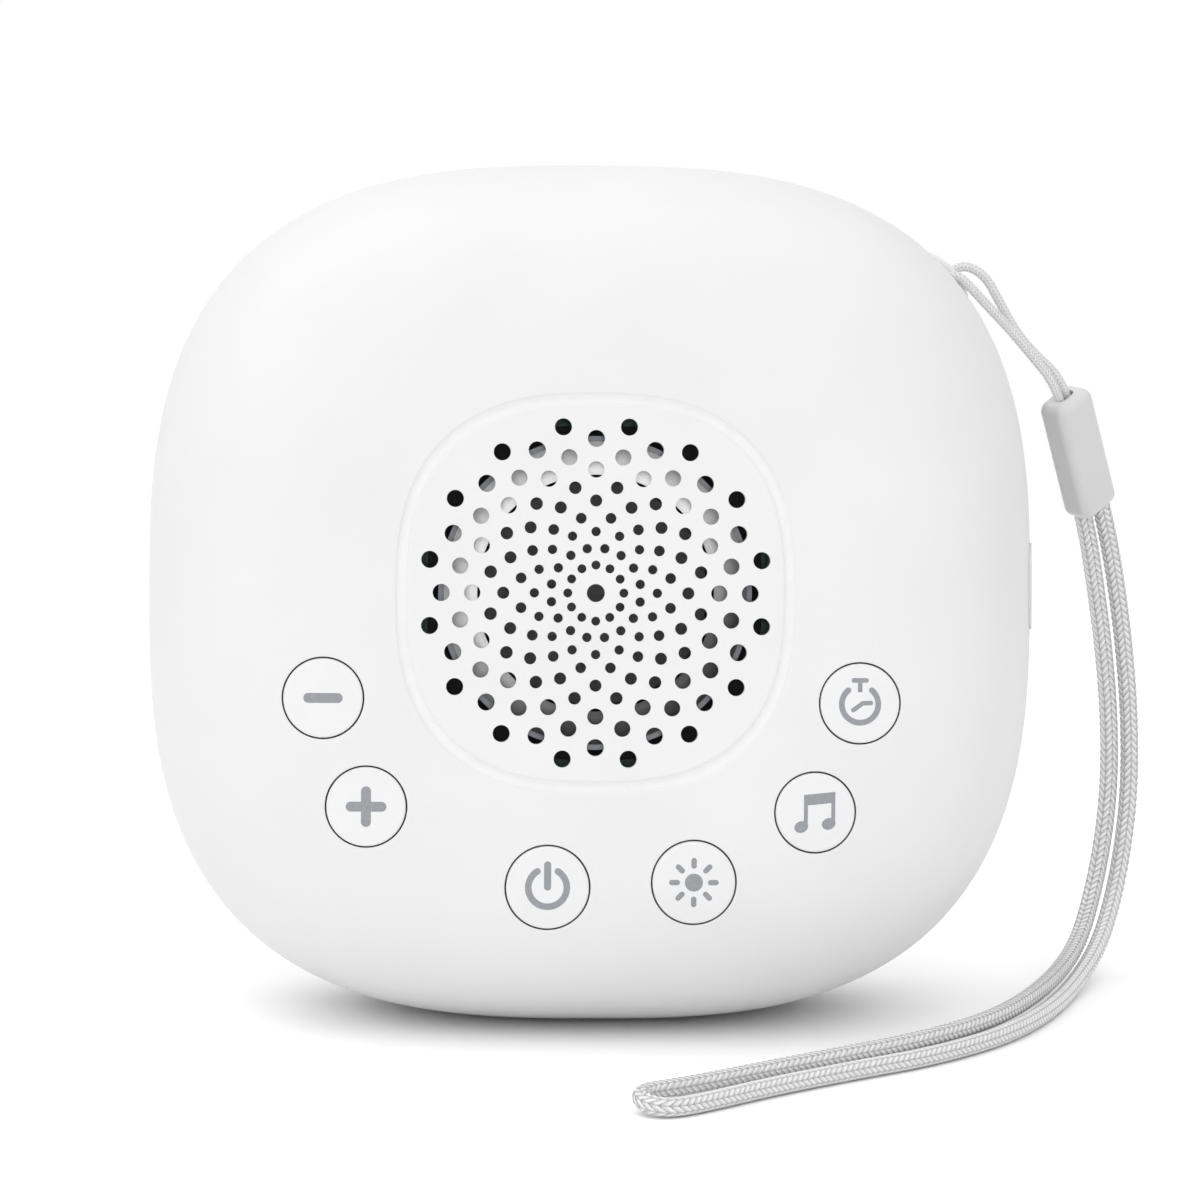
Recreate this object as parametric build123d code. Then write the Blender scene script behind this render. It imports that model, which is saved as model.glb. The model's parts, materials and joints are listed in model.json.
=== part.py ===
"""Portable white noise sound machine: every piece at its real size, one STEP file per piece.

Two frames are used.
  Case frame: X to the right, Y from the face to the back, Z up along the face.
      Its origin is the middle of the widest section. All the pieces of the case are drawn in it.
  Part frame: X to the right, Y to the back, Z up, with the origin at the middle of the foot pad's
      underside. The case leans back in it. The wrist strap is drawn in it directly.
"""
import os
from math import atan2, cos, degrees, hypot, pi, radians, sin, sqrt, tan

from build123d import *

# ---------------------------------------------------------------- case
CASE_WIDTH = 100.0
CASE_HEIGHT = 96.8
FACE_DEPTH = 27.0            # widest section to the flat of the face
BACK_DEPTH = 23.0            # widest section to the flat of the back
FLAT_SHARE = 0.5             # size of the flat of the face and of the back, as a share of the case
SIDE_EXPONENT = 2.7          # 2 is an ellipse; more is a flatter face with tighter shoulders
RIM_EXPONENT = 2.85          # the outline of the widest section
FACE_EXPONENT = 2.6          # the outline of the flat of the face
WALL = 2.0
SEAM = 2.5                   # depth of the joint between the two shells, just behind the widest section
SEAM_GAP = 0.12              # parting line left between the two skins
LIP_LENGTH = 1.5
LIP_WALL = 0.9
LIP_GAP = 0.1
BOSS_SINK = 0.6              # how far under the outer skin a boss starts
OUTLINE_POINTS = 32
SECTIONS = 11

# ---------------------------------------------------------------- stance
LEAN = 9.0                   # degrees
CENTRE_BACK = 1.4            # middle of the widest section, behind the middle of the foot
CENTRE_HEIGHT = 47.6
BASE_CLEARANCE = 0.4         # flat of the case above the surface that the foot stands on
FLOOR_WALL = 3.2
FLOOR_HALF_WIDTH = 21.0
FOOT_WIDTH = 30.0
FOOT_DEPTH = 14.0
FOOT_THICKNESS = 1.2
FOOT_CORNER = 4.0
FOOT_GAP = 0.1

# ---------------------------------------------------------------- grille and night light
GROOVE_OUTER = 22.0          # half the width of the opening in the face
GROOVE_INNER = 21.0          # half the width of the grille
GRILLE_THICKNESS = 2.0
GRILLE_RECESS = 17.3         # radius of the thinner middle, which holds the gasket from behind
GRILLE_MIDDLE = 1.0          # its thickness
EDGE_ROUND = 0.35            # front edge of the grille
OPENING_ROUND = 0.3          # edge of the opening round the grille
BORE_ROUND = 0.15            # edges of the button bores
RIM_GAP = 0.05
RING_RECESS = 0.3
RING_FLANGE = 1.4
RING_FLANGE_INNER = 20.0
RING_FLANGE_OUTER = 24.4
CENTRE_HOLE = 2.0
FIRST_RING_RADIUS = 3.1
FIRST_RING_COUNT = 12
FIRST_RING_HOLE = 1.0
EVEN_RING_START = 5.0        # rings turned by half a step
ODD_RING_START = 6.8         # rings in line with the vertical
RING_PITCH = 3.43
RING_COUNT = 16
EVEN_RING_HOLES = (1.05, 1.2, 1.4, 1.8, 1.9)
ODD_RING_HOLES = (1.05, 1.35, 1.8, 1.9)
LIGHT_BOARD_THICKNESS = 1.0
LIGHT_BOARD_INNER = 18.6
LIGHT_BOARD_OUTER = 24.0
LED_COUNT = 12
LED_WIDTH = 2.0
LED_HEIGHT = 0.9
LED_RADIUS = 21.6

# ---------------------------------------------------------------- speaker
GASKET_INNER = 13.1
GASKET_FLAT = 13.8           # end of the flat that touches the grille; the cone starts there
GASKET_OUTER = 16.8
GASKET_DEPTH = 0.6           # from the back of the grille's rim to the speaker's rim
GASKET_EDGE = 0.3            # thickness at the outer edge
BASKET_RADIUS = 17.4
BASKET_FLANGE = 1.0
BASKET_WALL = 0.8
BASKET_DEPTH = 9.6           # flange front to the front of the bottom plate
BASKET_NECK = 12.4
BASKET_WINDOWS = 6
SURROUND_INNER = 12.7
SURROUND_ROLL = 0.95         # radius of the half roll
SURROUND_THICKNESS = 0.3
CONE_THICKNESS = 0.4
CONE_NECK = 3.75
CONE_DEPTH = 5.2
CONE_LIP = 0.9
CONE_GAP = 0.3
DUST_CAP_RADIUS = 4.6
DUST_CAP_RISE = 1.7
COIL_INNER = 3.45
COIL_OUTER = 3.75
COIL_LENGTH = 8.3
POLE_RADIUS = 3.3
TOP_PLATE_RADIUS = 11.0
TOP_PLATE_THICKNESS = 1.8
TOP_PLATE_BORE = 3.95
MAGNET_RADIUS = 11.8
MAGNET_BORE = 5.5
MAGNET_THICKNESS = 3.5
YOKE_THICKNESS = 1.6
SPIDER_OUTER = 10.9           # end of the waves
SPIDER_RIM = 11.8
SPIDER_GAP = 0.3
SPIDER_THICKNESS = 0.3
SPIDER_WAVES = 3
RETAINER_THICKNESS = 1.6
RETAINER_BORE = 16.3
RETAINER_OUTER = 24.4
RETAINER_EARS = ((27.0, 0.0), (-27.0, 0.0), (0.0, 27.0), (2.7, -27.0))
EAR_RADIUS = 2.4

# ---------------------------------------------------------------- buttons
SMALL_CAP_RADIUS = 4.4
LARGE_CAP_RADIUS = 4.6
BUTTON_GAP = 0.17            # between a cap and the face around it
CAP_WALL = 0.9
CAP_TOP_INNER = 3.6          # flat of the face to the inside of a cap's top
SLEEVE_WALL = 1.0
SLEEVE_LENGTH = 7.0          # flat of the face to the end of a sleeve
CAP_FLANGE = 0.8
CAP_FLANGE_THICKNESS = 0.8
CAP_STOP_GAP = 0.1
CAP_ROUND = 0.3
STEM_RADIUS = 1.6
ICON_DEPTH = 0.45
ICON_RECESS = 0.05
BUTTONS = {
    "minus": (-30.1, -11.7, SMALL_CAP_RADIUS),
    "plus": (-25.3, -23.7, SMALL_CAP_RADIUS),
    "power": (-5.2, -32.6, LARGE_CAP_RADIUS),
    "light": (11.0, -32.0, LARGE_CAP_RADIUS),
    "music": (24.4, -24.2, SMALL_CAP_RADIUS),
    "timer": (29.3, -12.1, SMALL_CAP_RADIUS),
}

# ---------------------------------------------------------------- board
BOARD_HALF_WIDTH = 43.5
BOARD_HALF_HEIGHT = 42.0
BOARD_FRONT = -10.6
BOARD_THICKNESS = 1.6
BOARD_BORE = 14.0
BOARD_BOSSES = ((32.0, 26.0), (-32.0, 26.0), (22.0, -36.0), (-22.0, -36.0))
SWITCH_WIDTH = 6.0
SWITCH_HEIGHT = 3.5
SWITCH_FLOOR = 0.8
PLUNGER_RADIUS = 1.7
PLUNGER_GAP = 0.08
PLUNGER_RISE = 1.2           # above the switch housing
PLUNGER_LENGTH = 3.1
DOME_RADIUS = 1.5
DOME_THICKNESS = 0.15

# ---------------------------------------------------------------- screws and bosses
CASE_SCREWS = ((34.5, 31.5), (-34.5, 31.5), (34.5, -31.5), (-34.5, -31.5))
CASE_BOSS = 3.0
CASE_BOSS_BACK = 3.6
CASE_SCREW_SHANK = 1.1
CASE_SCREW_LENGTH = 10.0
CASE_SCREW_HEAD = 2.3
CASE_SCREW_HEAD_HEIGHT = 1.8
CASE_WELL = 2.7
CASE_SEAT = 2.4
SMALL_BOSS = 2.2
SMALL_SCREW_SHANK = 0.9
SMALL_SCREW_LENGTH = 5.0
RETAINER_SCREW_LENGTH = 4.0
PILOT_SPARE = 0.5
SMALL_SCREW_HEAD = 1.8
SMALL_SCREW_HEAD_HEIGHT = 1.2
SCREW_HOLE_GAP = 0.2
SLOT_DEPTH = 0.7
SLOT_WIDTH = 0.55

# ---------------------------------------------------------------- battery
BATTERY_WIDTH = 50.0
BATTERY_HEIGHT = 34.0
BATTERY_THICKNESS = 8.0
BATTERY_FRONT = 8.0
BATTERY_UP = -6.0
BATTERY_ROUND = 1.6
FOAM_THICKNESS = 1.0
RIB_THICKNESS = 1.4
RIB_HALF_WIDTH = 20.0
RIB_PITCH = 10.0
BRACKET_THICKNESS = 1.6
BRACKET_HALF_WIDTH = 31.0
BRACKET_HEIGHT = 14.0
BRACKET_WINDOW = 30.0
PROTECTION_WIDTH = 28.0
PROTECTION_HEIGHT = 4.0
PROTECTION_THICKNESS = 1.2
LEAD_DIAMETER = 1.1
LEAD_PITCH = 2.0

# ---------------------------------------------------------------- charging port and its cover
PORT_DEPTH = -7.4
PORT_UP = 0.9
SOCKET_WIDTH = 8.94
SOCKET_THICKNESS = 3.2
SOCKET_LENGTH = 7.3
SOCKET_MOUTH = 47.4
SOCKET_WALL = 0.3
TONGUE_WIDTH = 6.7
TONGUE_THICKNESS = 0.7
PORT_CLEARANCE = 0.2
COVER_LENGTH = 9.7
COVER_WIDTH = 6.0
COVER_CORNER = 2.6
COVER_PROUD = 0.2
COVER_THICKNESS = 1.4
COVER_GAP = 0.18
PLUG_LENGTH = 7.6
PLUG_THICKNESS = 2.2
PLUG_DEPTH = 0.8
KNUCKLE_RADIUS = 0.6
KNUCKLE_LENGTH = 5.2
KNUCKLE_GAP = 0.2
HINGE_BEHIND = 1.0           # hinge line behind the cover's back edge
HINGE_SINK = 0.65            # hinge line under the outer skin
TETHER_THICKNESS = 1.0
TETHER_WIDTH = 4.0
TETHER_HEAD = 1.0
TETHER_HEAD_OVER = 1.2
TETHER_GAP = 0.05
PORT_PAD_WALL = 4.2
PORT_PAD_MARGIN = 1.8

# ---------------------------------------------------------------- strap lug
LUG_ANGLE = 48.5             # degrees from the top, to the right
LUG_DEPTH = 7.0              # behind the widest section
LUG_RADIUS = 54.9            # centre of the case to the widest section, in that direction
LUG_CREST = 1.25             # bar above that radius
LUG_BAR = 1.9
LUG_WIDTH = 2.0
LUG_ARCH = 6.9               # radius of the bar's outer edge
LUG_ROOT = 3.0               # how deep the bar is rooted
EYE_SPAN = 3.4
EYE_HEIGHT = 1.5
SCOOP_HALF_DEPTH = 3.0
LUG_PAD_HALF = 4.6
LUG_PAD_WALL = 4.6

# ---------------------------------------------------------------- back
LABEL_WIDTH = 34.0
LABEL_HEIGHT = 18.0
LABEL_SINK = 0.3
LABEL_UP = 4.0
LABEL_CORNER = 2.0

# ---------------------------------------------------------------- wrist strap, in the part frame
THIN_CORD = 1.15
LOOP_CORD = 2.25
BEAD_WIDTH = 5.9
BEAD_THICKNESS = 4.4
BEAD_LENGTH = 15.4
BEAD_ROUND = 1.45
BEAD_END_ROUND = 1.3
BEAD_CENTRE = (57.0, 17.6, 61.6)
BEAD_YAW = 46.0              # turned about its own length
BEAD_DOWN = (0.255, 0.35, -0.90)
BEAD_CORD_GAP = 0.1
THIN_SLOT_LENGTH = 2.6
THIN_SLOT_WIDTH = 1.4
THIN_SLOT_DEPTH = 4.0
LOOP_SOCKET_DEPTH = 5.0
LOOP_SPACING = 2.44
LOOP_SOCKET_TURN = 28.0

FAR = 200.0
FACE = -FACE_DEPTH
BACK = BACK_DEPTH
WALL_INSIDE = FACE + WALL
RING_FLANGE_BACK = WALL_INSIDE + RING_FLANGE
BASKET_FRONT = FACE + GRILLE_THICKNESS + GASKET_DEPTH + SURROUND_THICKNESS
LIGHT_BOARD_FRONT = RING_FLANGE_BACK + LED_HEIGHT + 0.1
RETAINER_FRONT = LIGHT_BOARD_FRONT + LIGHT_BOARD_THICKNESS
RETAINER_BACK = RETAINER_FRONT + RETAINER_THICKNESS
BOARD_BACK = BOARD_FRONT + BOARD_THICKNESS
SWITCH_TOP = BOARD_FRONT - SWITCH_HEIGHT
PLUNGER_TOP = SWITCH_TOP - PLUNGER_RISE
SLEEVE_END = FACE + SLEEVE_LENGTH
CAP_FLANGE_FRONT = SLEEVE_END + CAP_STOP_GAP
BATTERY_BACK = BATTERY_FRONT + BATTERY_THICKNESS
BRACKET_FRONT = BATTERY_FRONT - BRACKET_THICKNESS
BRACKET_SCREWS = ((BRACKET_HALF_WIDTH, BATTERY_UP), (-BRACKET_HALF_WIDTH, BATTERY_UP))
CASE_SEAT_DEPTH = SEAM + CASE_SEAT

STAND = Pos(0, CENTRE_BACK, CENTRE_HEIGHT) * Rot(-LEAN, 0, 0)


# ---------------------------------------------------------------- helpers
def outline_points(half_width, half_height, exponent):
    """Points of a rounded square |x/a|^n + |y/b|^n = 1, evenly turned about its middle."""
    points = []
    for step in range(OUTLINE_POINTS):
        turn = 2 * pi * step / OUTLINE_POINTS
        across = abs(cos(turn)) / half_width
        along = abs(sin(turn)) / half_height
        reach = (across ** exponent + along ** exponent) ** (-1 / exponent)
        points.append((reach * cos(turn), reach * sin(turn)))
    return points


def rounded_square(half_width, half_height=None, exponent=FACE_EXPONENT):
    """A flat rounded square."""
    if half_height is None:
        half_height = half_width
    outline = Spline(outline_points(half_width, half_height, exponent), periodic=True)
    return make_face(outline)


def pressed(profile, front, back):
    """A flat outline, drawn across and up, given depth from front to back."""
    plane = Plane(origin=(0, back, 0), x_dir=(1, 0, 0), z_dir=(0, -1, 0))
    return extrude(plane * profile, amount=back - front)


def disc(across, up, radius, front, back):
    """A round bar along the depth axis."""
    return pressed(Pos(across, up) * Circle(radius), front, back)


def block(across, depth, up):
    """A box from three pairs of limits."""
    size = [high - low for low, high in (across, depth, up)]
    middle = [(high + low) / 2 for low, high in (across, depth, up)]
    return Pos(*middle) * Box(*size)


def turned(profile):
    """A ring or cup, turned about the depth axis from points (radius, depth)."""
    face = Plane.XY * make_face(Polyline(*profile, close=True))
    return revolve(face, axis=Axis.Y)


def arc_radii(points):
    """The largest tangent arcs that the runs on both sides of each corner allow."""
    corners = [Vector(*point) for point in points]
    radii = []
    for before, here, after in zip(corners, corners[1:], corners[2:]):
        turn = (here - before).get_angle(after - here)
        shorter = min((here - before).length, (after - here).length)
        radii.append(0.45 * shorter / tan(radians(turn) / 2))
    return radii


def tube(name, points, diameter):
    """A round cord along straight runs joined by tangent arcs."""
    radii = arc_radii(points)
    path = FilletPolyline(*points, radius=radii)
    start = Plane(origin=path @ 0, z_dir=path % 0)
    solid = sweep(start * Circle(diameter / 2), path=path)
    expected = pi * diameter ** 2 / 4 * path.length
    print(f"{name}: length {path.length:.1f}, tightest {min(radii):.2f}, "
          f"volume {solid.volume / expected:.4f} of section times length, "
          f"radii {[round(radius, 1) for radius in radii]}")
    return solid


def case_body(inset):
    """The closed form of the case, with its skin moved inwards by inset."""
    half_width = CASE_WIDTH / 2 - inset
    half_height = CASE_HEIGHT / 2 - inset
    wires = []
    for side, depth in ((-1, FACE_DEPTH - inset), (1, BACK_DEPTH - inset)):
        steps = range(SECTIONS, -1, -1) if side < 0 else range(1, SECTIONS + 1)
        for step in steps:
            turn = pi / 2 * (1 - (1 - step / SECTIONS) ** 1.6)
            bulge = max(0.0, cos(turn)) ** (2 / SIDE_EXPONENT)
            share = FLAT_SHARE + (1 - FLAT_SHARE) * bulge
            level = side * depth * sin(turn) ** (2 / SIDE_EXPONENT)
            exponent = FACE_EXPONENT + (RIM_EXPONENT - FACE_EXPONENT) * bulge
            flat = outline_points(half_width * share, half_height * share, exponent)
            loop = Edge.make_spline([(x, level, z) for x, z in flat], periodic=True,
                                    parameters=list(range(OUTLINE_POINTS + 1)))
            wires.append(Wire([loop]))
    return Solid.make_loft(wires)


def save(name, shape, leaning=True):
    """Write one piece. The pieces of the case lean back with it."""
    placed = STAND * shape if leaning else shape
    solids = placed.solids()
    export_step(Compound(solids) if len(solids) > 1 else solids[0], f"parts/{name}.step")


OUTER = case_body(0)
INNER = case_body(WALL)
BOSS_LIMIT = case_body(BOSS_SINK)
LIP_OUTER = case_body(WALL - LIP_WALL)
REBATE_OUTER = case_body(WALL - LIP_WALL - LIP_GAP)
DEEP_LIMIT = case_body(PORT_PAD_WALL)
BEHIND_SEAM = block((-FAR, FAR), (SEAM + SEAM_GAP, FAR), (-FAR, FAR))
AHEAD_OF_SEAM = block((-FAR, FAR), (-FAR, SEAM), (-FAR, FAR))
UNDER_BASE = STAND.inverse() * block((-FAR, FAR), (-FAR, FAR), (-FAR, BASE_CLEARANCE))
FOOT_POCKET = STAND.inverse() * extrude(
    RectangleRounded(FOOT_WIDTH + 2 * FOOT_GAP, FOOT_DEPTH + 2 * FOOT_GAP, FOOT_CORNER), FOOT_THICKNESS)
FLOOR_PAD = OUTER & (STAND.inverse() * block(
    (-FLOOR_HALF_WIDTH, FLOOR_HALF_WIDTH), (-FAR, FAR), (-FAR, BASE_CLEARANCE + FLOOR_WALL)))


# ---------------------------------------------------------------- foot
def foot_pad():
    """Rubber pad stuck in a shallow pocket under both shells."""
    pad = extrude(RectangleRounded(FOOT_WIDTH, FOOT_DEPTH, FOOT_CORNER), FOOT_THICKNESS)
    return chamfer(pad.faces().sort_by(Axis.Z)[0].edges(), 0.2)


# ---------------------------------------------------------------- charging port
def port_outline(length, width, corner, grow=0.0):
    """A rounded outline seen from the side, grown by a margin: width in depth, length up."""
    plane = Plane(origin=(0, PORT_DEPTH, PORT_UP), x_dir=(0, 1, 0), z_dir=(1, 0, 0))
    return plane * RectangleRounded(width + 2 * grow, length + 2 * grow, corner + grow)


def port_prism(length, width, corner, low, high, grow=0.0):
    """That outline as a bar to the right, from low to high."""
    return Pos(low, 0, 0) * extrude(port_outline(length, width, corner, grow), high - low)


COVER_BACK = PORT_DEPTH + COVER_WIDTH / 2
HINGE_DEPTH = COVER_BACK + HINGE_BEHIND
HINGE_ACROSS = CASE_WIDTH / 2 - HINGE_SINK
COVER_OUTER = case_body(-COVER_PROUD)
COVER_INNER = case_body(COVER_THICKNESS - COVER_PROUD)
COVER_POCKET = case_body(COVER_THICKNESS - COVER_PROUD + 0.05)
PORT_INSIDE = CASE_WIDTH / 2 - PORT_PAD_WALL


def hinge_bar(radius, length):
    """A round bar on the cover's hinge line."""
    return Pos(HINGE_ACROSS, HINGE_DEPTH, PORT_UP) * Cylinder(radius, length)


def usb_cover():
    """Soft flap over the charging port, with a short plug and the knuckle that it bends at."""
    plate = port_prism(COVER_LENGTH, COVER_WIDTH, COVER_CORNER, 40, 60)
    plate = (plate & COVER_OUTER) - COVER_INNER
    plug_low = CASE_WIDTH / 2 - COVER_THICKNESS + COVER_PROUD - PLUG_DEPTH
    plug = port_prism(PLUG_LENGTH, PLUG_THICKNESS, PLUG_THICKNESS / 2 - 0.05, plug_low, 49.0) & COVER_OUTER
    half = KNUCKLE_LENGTH / 2
    neck = block((HINGE_ACROSS - KNUCKLE_RADIUS + 0.05, HINGE_ACROSS + 0.5),
                 (COVER_BACK - 0.3, HINGE_DEPTH), (PORT_UP - half, PORT_UP + half))
    return plate + plug + (neck & OUTER) + hinge_bar(KNUCKLE_RADIUS, KNUCKLE_LENGTH)


def port_cuts():
    """What is taken from the case for the port, the cover's seat, its hinge and its tether."""
    seat = port_prism(COVER_LENGTH, COVER_WIDTH, COVER_CORNER, 40, 60, COVER_GAP) - COVER_POCKET
    mouth = port_prism(SOCKET_WIDTH, SOCKET_THICKNESS, SOCKET_THICKNESS / 2 - 0.1, 30, 60, PORT_CLEARANCE)
    half = KNUCKLE_LENGTH / 2 + KNUCKLE_GAP
    reach = KNUCKLE_RADIUS + KNUCKLE_GAP
    knuckle = hinge_bar(reach, 2 * half)
    above = block((HINGE_ACROSS, 60), (COVER_BACK, HINGE_DEPTH + reach), (PORT_UP - half, PORT_UP + half))
    neck = block((HINGE_ACROSS - reach, 60), (COVER_BACK - 0.3, HINGE_DEPTH),
                 (PORT_UP - half, PORT_UP + half))
    half_thick = TETHER_THICKNESS / 2 + TETHER_GAP
    half_wide = TETHER_WIDTH / 2 + TETHER_GAP
    slot = block((PORT_INSIDE - 2, HINGE_ACROSS), (HINGE_DEPTH - half_thick, HINGE_DEPTH + half_thick),
                 (PORT_UP - half_wide, PORT_UP + half_wide))
    return [seat, mouth, knuckle, above, neck, slot]


def port_pad():
    """Thicker wall round the port."""
    bar = port_prism(COVER_LENGTH, COVER_WIDTH, COVER_CORNER, 40, 60, PORT_PAD_MARGIN)
    return (bar & BOSS_LIMIT) - DEEP_LIMIT


def usb_cover_tether():
    """The fixed root of the cover, pulled through a slot and held by its head inside the case."""
    top = HINGE_ACROSS - KNUCKLE_RADIUS - 0.1
    half_thick = TETHER_THICKNESS / 2
    half_wide = TETHER_WIDTH / 2
    inside = PORT_INSIDE - 0.25
    leg = block((inside, top), (HINGE_DEPTH - half_thick, HINGE_DEPTH + half_thick),
                (PORT_UP - half_wide, PORT_UP + half_wide))
    over = TETHER_HEAD_OVER
    head = block((inside - TETHER_HEAD, inside),
                 (HINGE_DEPTH - half_thick - over / 2, HINGE_DEPTH + half_thick + over / 2),
                 (PORT_UP - half_wide - over, PORT_UP + half_wide + over))
    return leg + head


def usb_socket():
    """Metal shell of the charging socket, open at its mouth, with four legs to the board."""
    low = SOCKET_MOUTH - SOCKET_LENGTH
    corner = SOCKET_THICKNESS / 2 - 0.1
    depth = BOARD_BACK + SOCKET_THICKNESS / 2 - PORT_DEPTH
    shell = port_prism(SOCKET_WIDTH, SOCKET_THICKNESS, corner, low, SOCKET_MOUTH)
    hollow = port_prism(SOCKET_WIDTH, SOCKET_THICKNESS, corner, low + SOCKET_WALL, 60, -SOCKET_WALL)
    return Pos(0, depth, 0) * (shell - hollow)


def usb_tongue():
    """The contact tongue in the middle of the socket."""
    low = SOCKET_MOUTH - SOCKET_LENGTH + SOCKET_WALL
    depth = BOARD_BACK + SOCKET_THICKNESS / 2
    half_thick = TONGUE_THICKNESS / 2
    half_wide = TONGUE_WIDTH / 2
    tongue = block((low, SOCKET_MOUTH - 1.0), (depth - half_thick, depth + half_thick),
                   (PORT_UP - half_wide, PORT_UP + half_wide))
    root = block((low, low + 1.4), (depth - 1.2, depth + 1.2), (PORT_UP - half_wide, PORT_UP + half_wide))
    return tongue + root


# ---------------------------------------------------------------- strap lug
LUG_TURN = radians(LUG_ANGLE)
LUG_PLANE = Plane(
    origin=(LUG_RADIUS * sin(LUG_TURN), LUG_DEPTH, LUG_RADIUS * cos(LUG_TURN)),
    x_dir=(cos(LUG_TURN), 0, -sin(LUG_TURN)), z_dir=(0, -1, 0))


def lug_block(along, away, depth):
    """A box at the lug: along the outline, away from the case, and in depth about the bar."""
    return LUG_PLANE * block(along, away, depth)


def lug_bar():
    """Low arch that the strap's thin cord goes round."""
    arch = Pos(0, LUG_CREST - LUG_ARCH, 0) * Cylinder(LUG_ARCH, LUG_WIDTH)
    arch = fillet(arch.edges().filter_by(GeomType.CIRCLE), 0.45)
    keep = block((-LUG_ARCH, LUG_ARCH), (-LUG_ROOT, 3), (-LUG_WIDTH, LUG_WIDTH))
    return LUG_PLANE * (arch & keep)


def lug_scoop():
    """The hollow in front of, under and behind the bar."""
    under = LUG_CREST - LUG_BAR
    middle = (under - EYE_HEIGHT + 3) / 2
    tall = 3 - (under - EYE_HEIGHT)
    scoop = Pos(0, middle, 0) * Box(EYE_SPAN, tall, 2 * SCOOP_HALF_DEPTH)
    scoop = fillet(scoop.edges().filter_by(Axis.Y), 0.9)
    bottom = scoop.faces().sort_by(Axis.Y)[0]
    scoop = fillet(bottom.edges(), 0.6)
    return LUG_PLANE * scoop


def lug_eye():
    """The way under the bar."""
    under = LUG_CREST - LUG_BAR
    middle = under - EYE_HEIGHT / 2
    eye = Pos(0, middle, 0) * Box(EYE_SPAN, EYE_HEIGHT, 2 * SCOOP_HALF_DEPTH - 0.6)
    eye = fillet(eye.edges().filter_by(Axis.Z), 0.6)
    return LUG_PLANE * eye


def lug_pad():
    """Thicker wall behind the lug's hollow."""
    half = LUG_PAD_HALF
    pad = lug_block((-half, half), (-8, 3), (-half, half))
    return (pad & BOSS_LIMIT & BEHIND_SEAM) - case_body(LUG_PAD_WALL)


# ---------------------------------------------------------------- shells
def seat_screws(places, radius, front, back):
    """Round bars at several places."""
    return [disc(across, up, radius, front, back) for across, up in places]


def is_round(edge, across, up, radius):
    """Whether an edge lies at that distance all round an axis along the depth."""
    if edge.geom_type == GeomType.LINE:
        return False
    places = [edge @ share for share in (0.0, 0.25, 0.5, 0.75)]
    return all(abs(hypot(place.X - across, place.Z - up) - radius) < 0.02 for place in places)


def softened(shell):
    """Round the outer edges of the button bores and of the opening round the grille."""
    bores = []
    for across, up, radius in BUTTONS.values():
        rims = [edge for edge in shell.edges() if is_round(edge, across, up, radius + BUTTON_GAP)]
        bores.append(min(rims, key=lambda edge: (edge @ 0).Y))
    shell = fillet(bores, BORE_ROUND)
    reach = 1.5 * GROOVE_OUTER
    opening = [edge for edge in shell.edges()
               if all(abs((edge @ share).Y - FACE) < 0.001 for share in (0.0, 0.3, 0.6))
               and all(hypot((edge @ share).X, (edge @ share).Z) < reach for share in (0.0, 0.3, 0.6))]
    return fillet(opening, OPENING_ROUND)


def front_shell():
    """Face and sides as one moulding, with sleeves for the buttons and bosses for what it carries."""
    shell = (OUTER - INNER) & AHEAD_OF_SEAM
    sleeves = []
    holes = []
    for across, up, radius in BUTTONS.values():
        bore = radius + BUTTON_GAP
        sleeves.append(disc(across, up, bore + SLEEVE_WALL, FACE, SLEEVE_END) & BOSS_LIMIT)
        holes.append(disc(across, up, bore, FACE - 1, SLEEVE_END + 1))
    bosses = seat_screws(BOARD_BOSSES, SMALL_BOSS, FACE, BOARD_FRONT)
    bosses += seat_screws(RETAINER_EARS, SMALL_BOSS, FACE, RETAINER_FRONT)
    bosses += seat_screws(CASE_SCREWS, CASE_BOSS, FACE, SEAM)
    bosses = [boss & BOSS_LIMIT for boss in bosses]
    floor = (FLOOR_PAD & AHEAD_OF_SEAM) & BOSS_LIMIT
    shell = shell + sleeves + bosses + [port_pad(), floor]
    cuts = list(holes)
    cuts.append(pressed(rounded_square(GROOVE_OUTER), FACE - 1, WALL_INSIDE + 0.5))
    board_pilot = BOARD_BACK - SMALL_SCREW_LENGTH - PILOT_SPARE
    cuts += seat_screws(BOARD_BOSSES, SMALL_SCREW_SHANK, board_pilot, BOARD_FRONT + 1)
    retainer_pilot = RETAINER_BACK - RETAINER_SCREW_LENGTH - PILOT_SPARE
    cuts += seat_screws(RETAINER_EARS, SMALL_SCREW_SHANK, retainer_pilot, RETAINER_FRONT + 1)
    case_pilot = CASE_SEAT_DEPTH - CASE_SCREW_LENGTH - PILOT_SPARE
    cuts += seat_screws(CASE_SCREWS, CASE_SCREW_SHANK, case_pilot, SEAM + 1)
    rebate = REBATE_OUTER - case_body(WALL + LIP_GAP)
    rebate = rebate & block((-FAR, FAR), (SEAM - LIP_LENGTH - LIP_GAP, SEAM + 1), (-FAR, FAR))
    cuts.append(rebate)
    cuts += port_cuts()
    cuts += [UNDER_BASE, FOOT_POCKET]
    return softened(shell - cuts)


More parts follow.
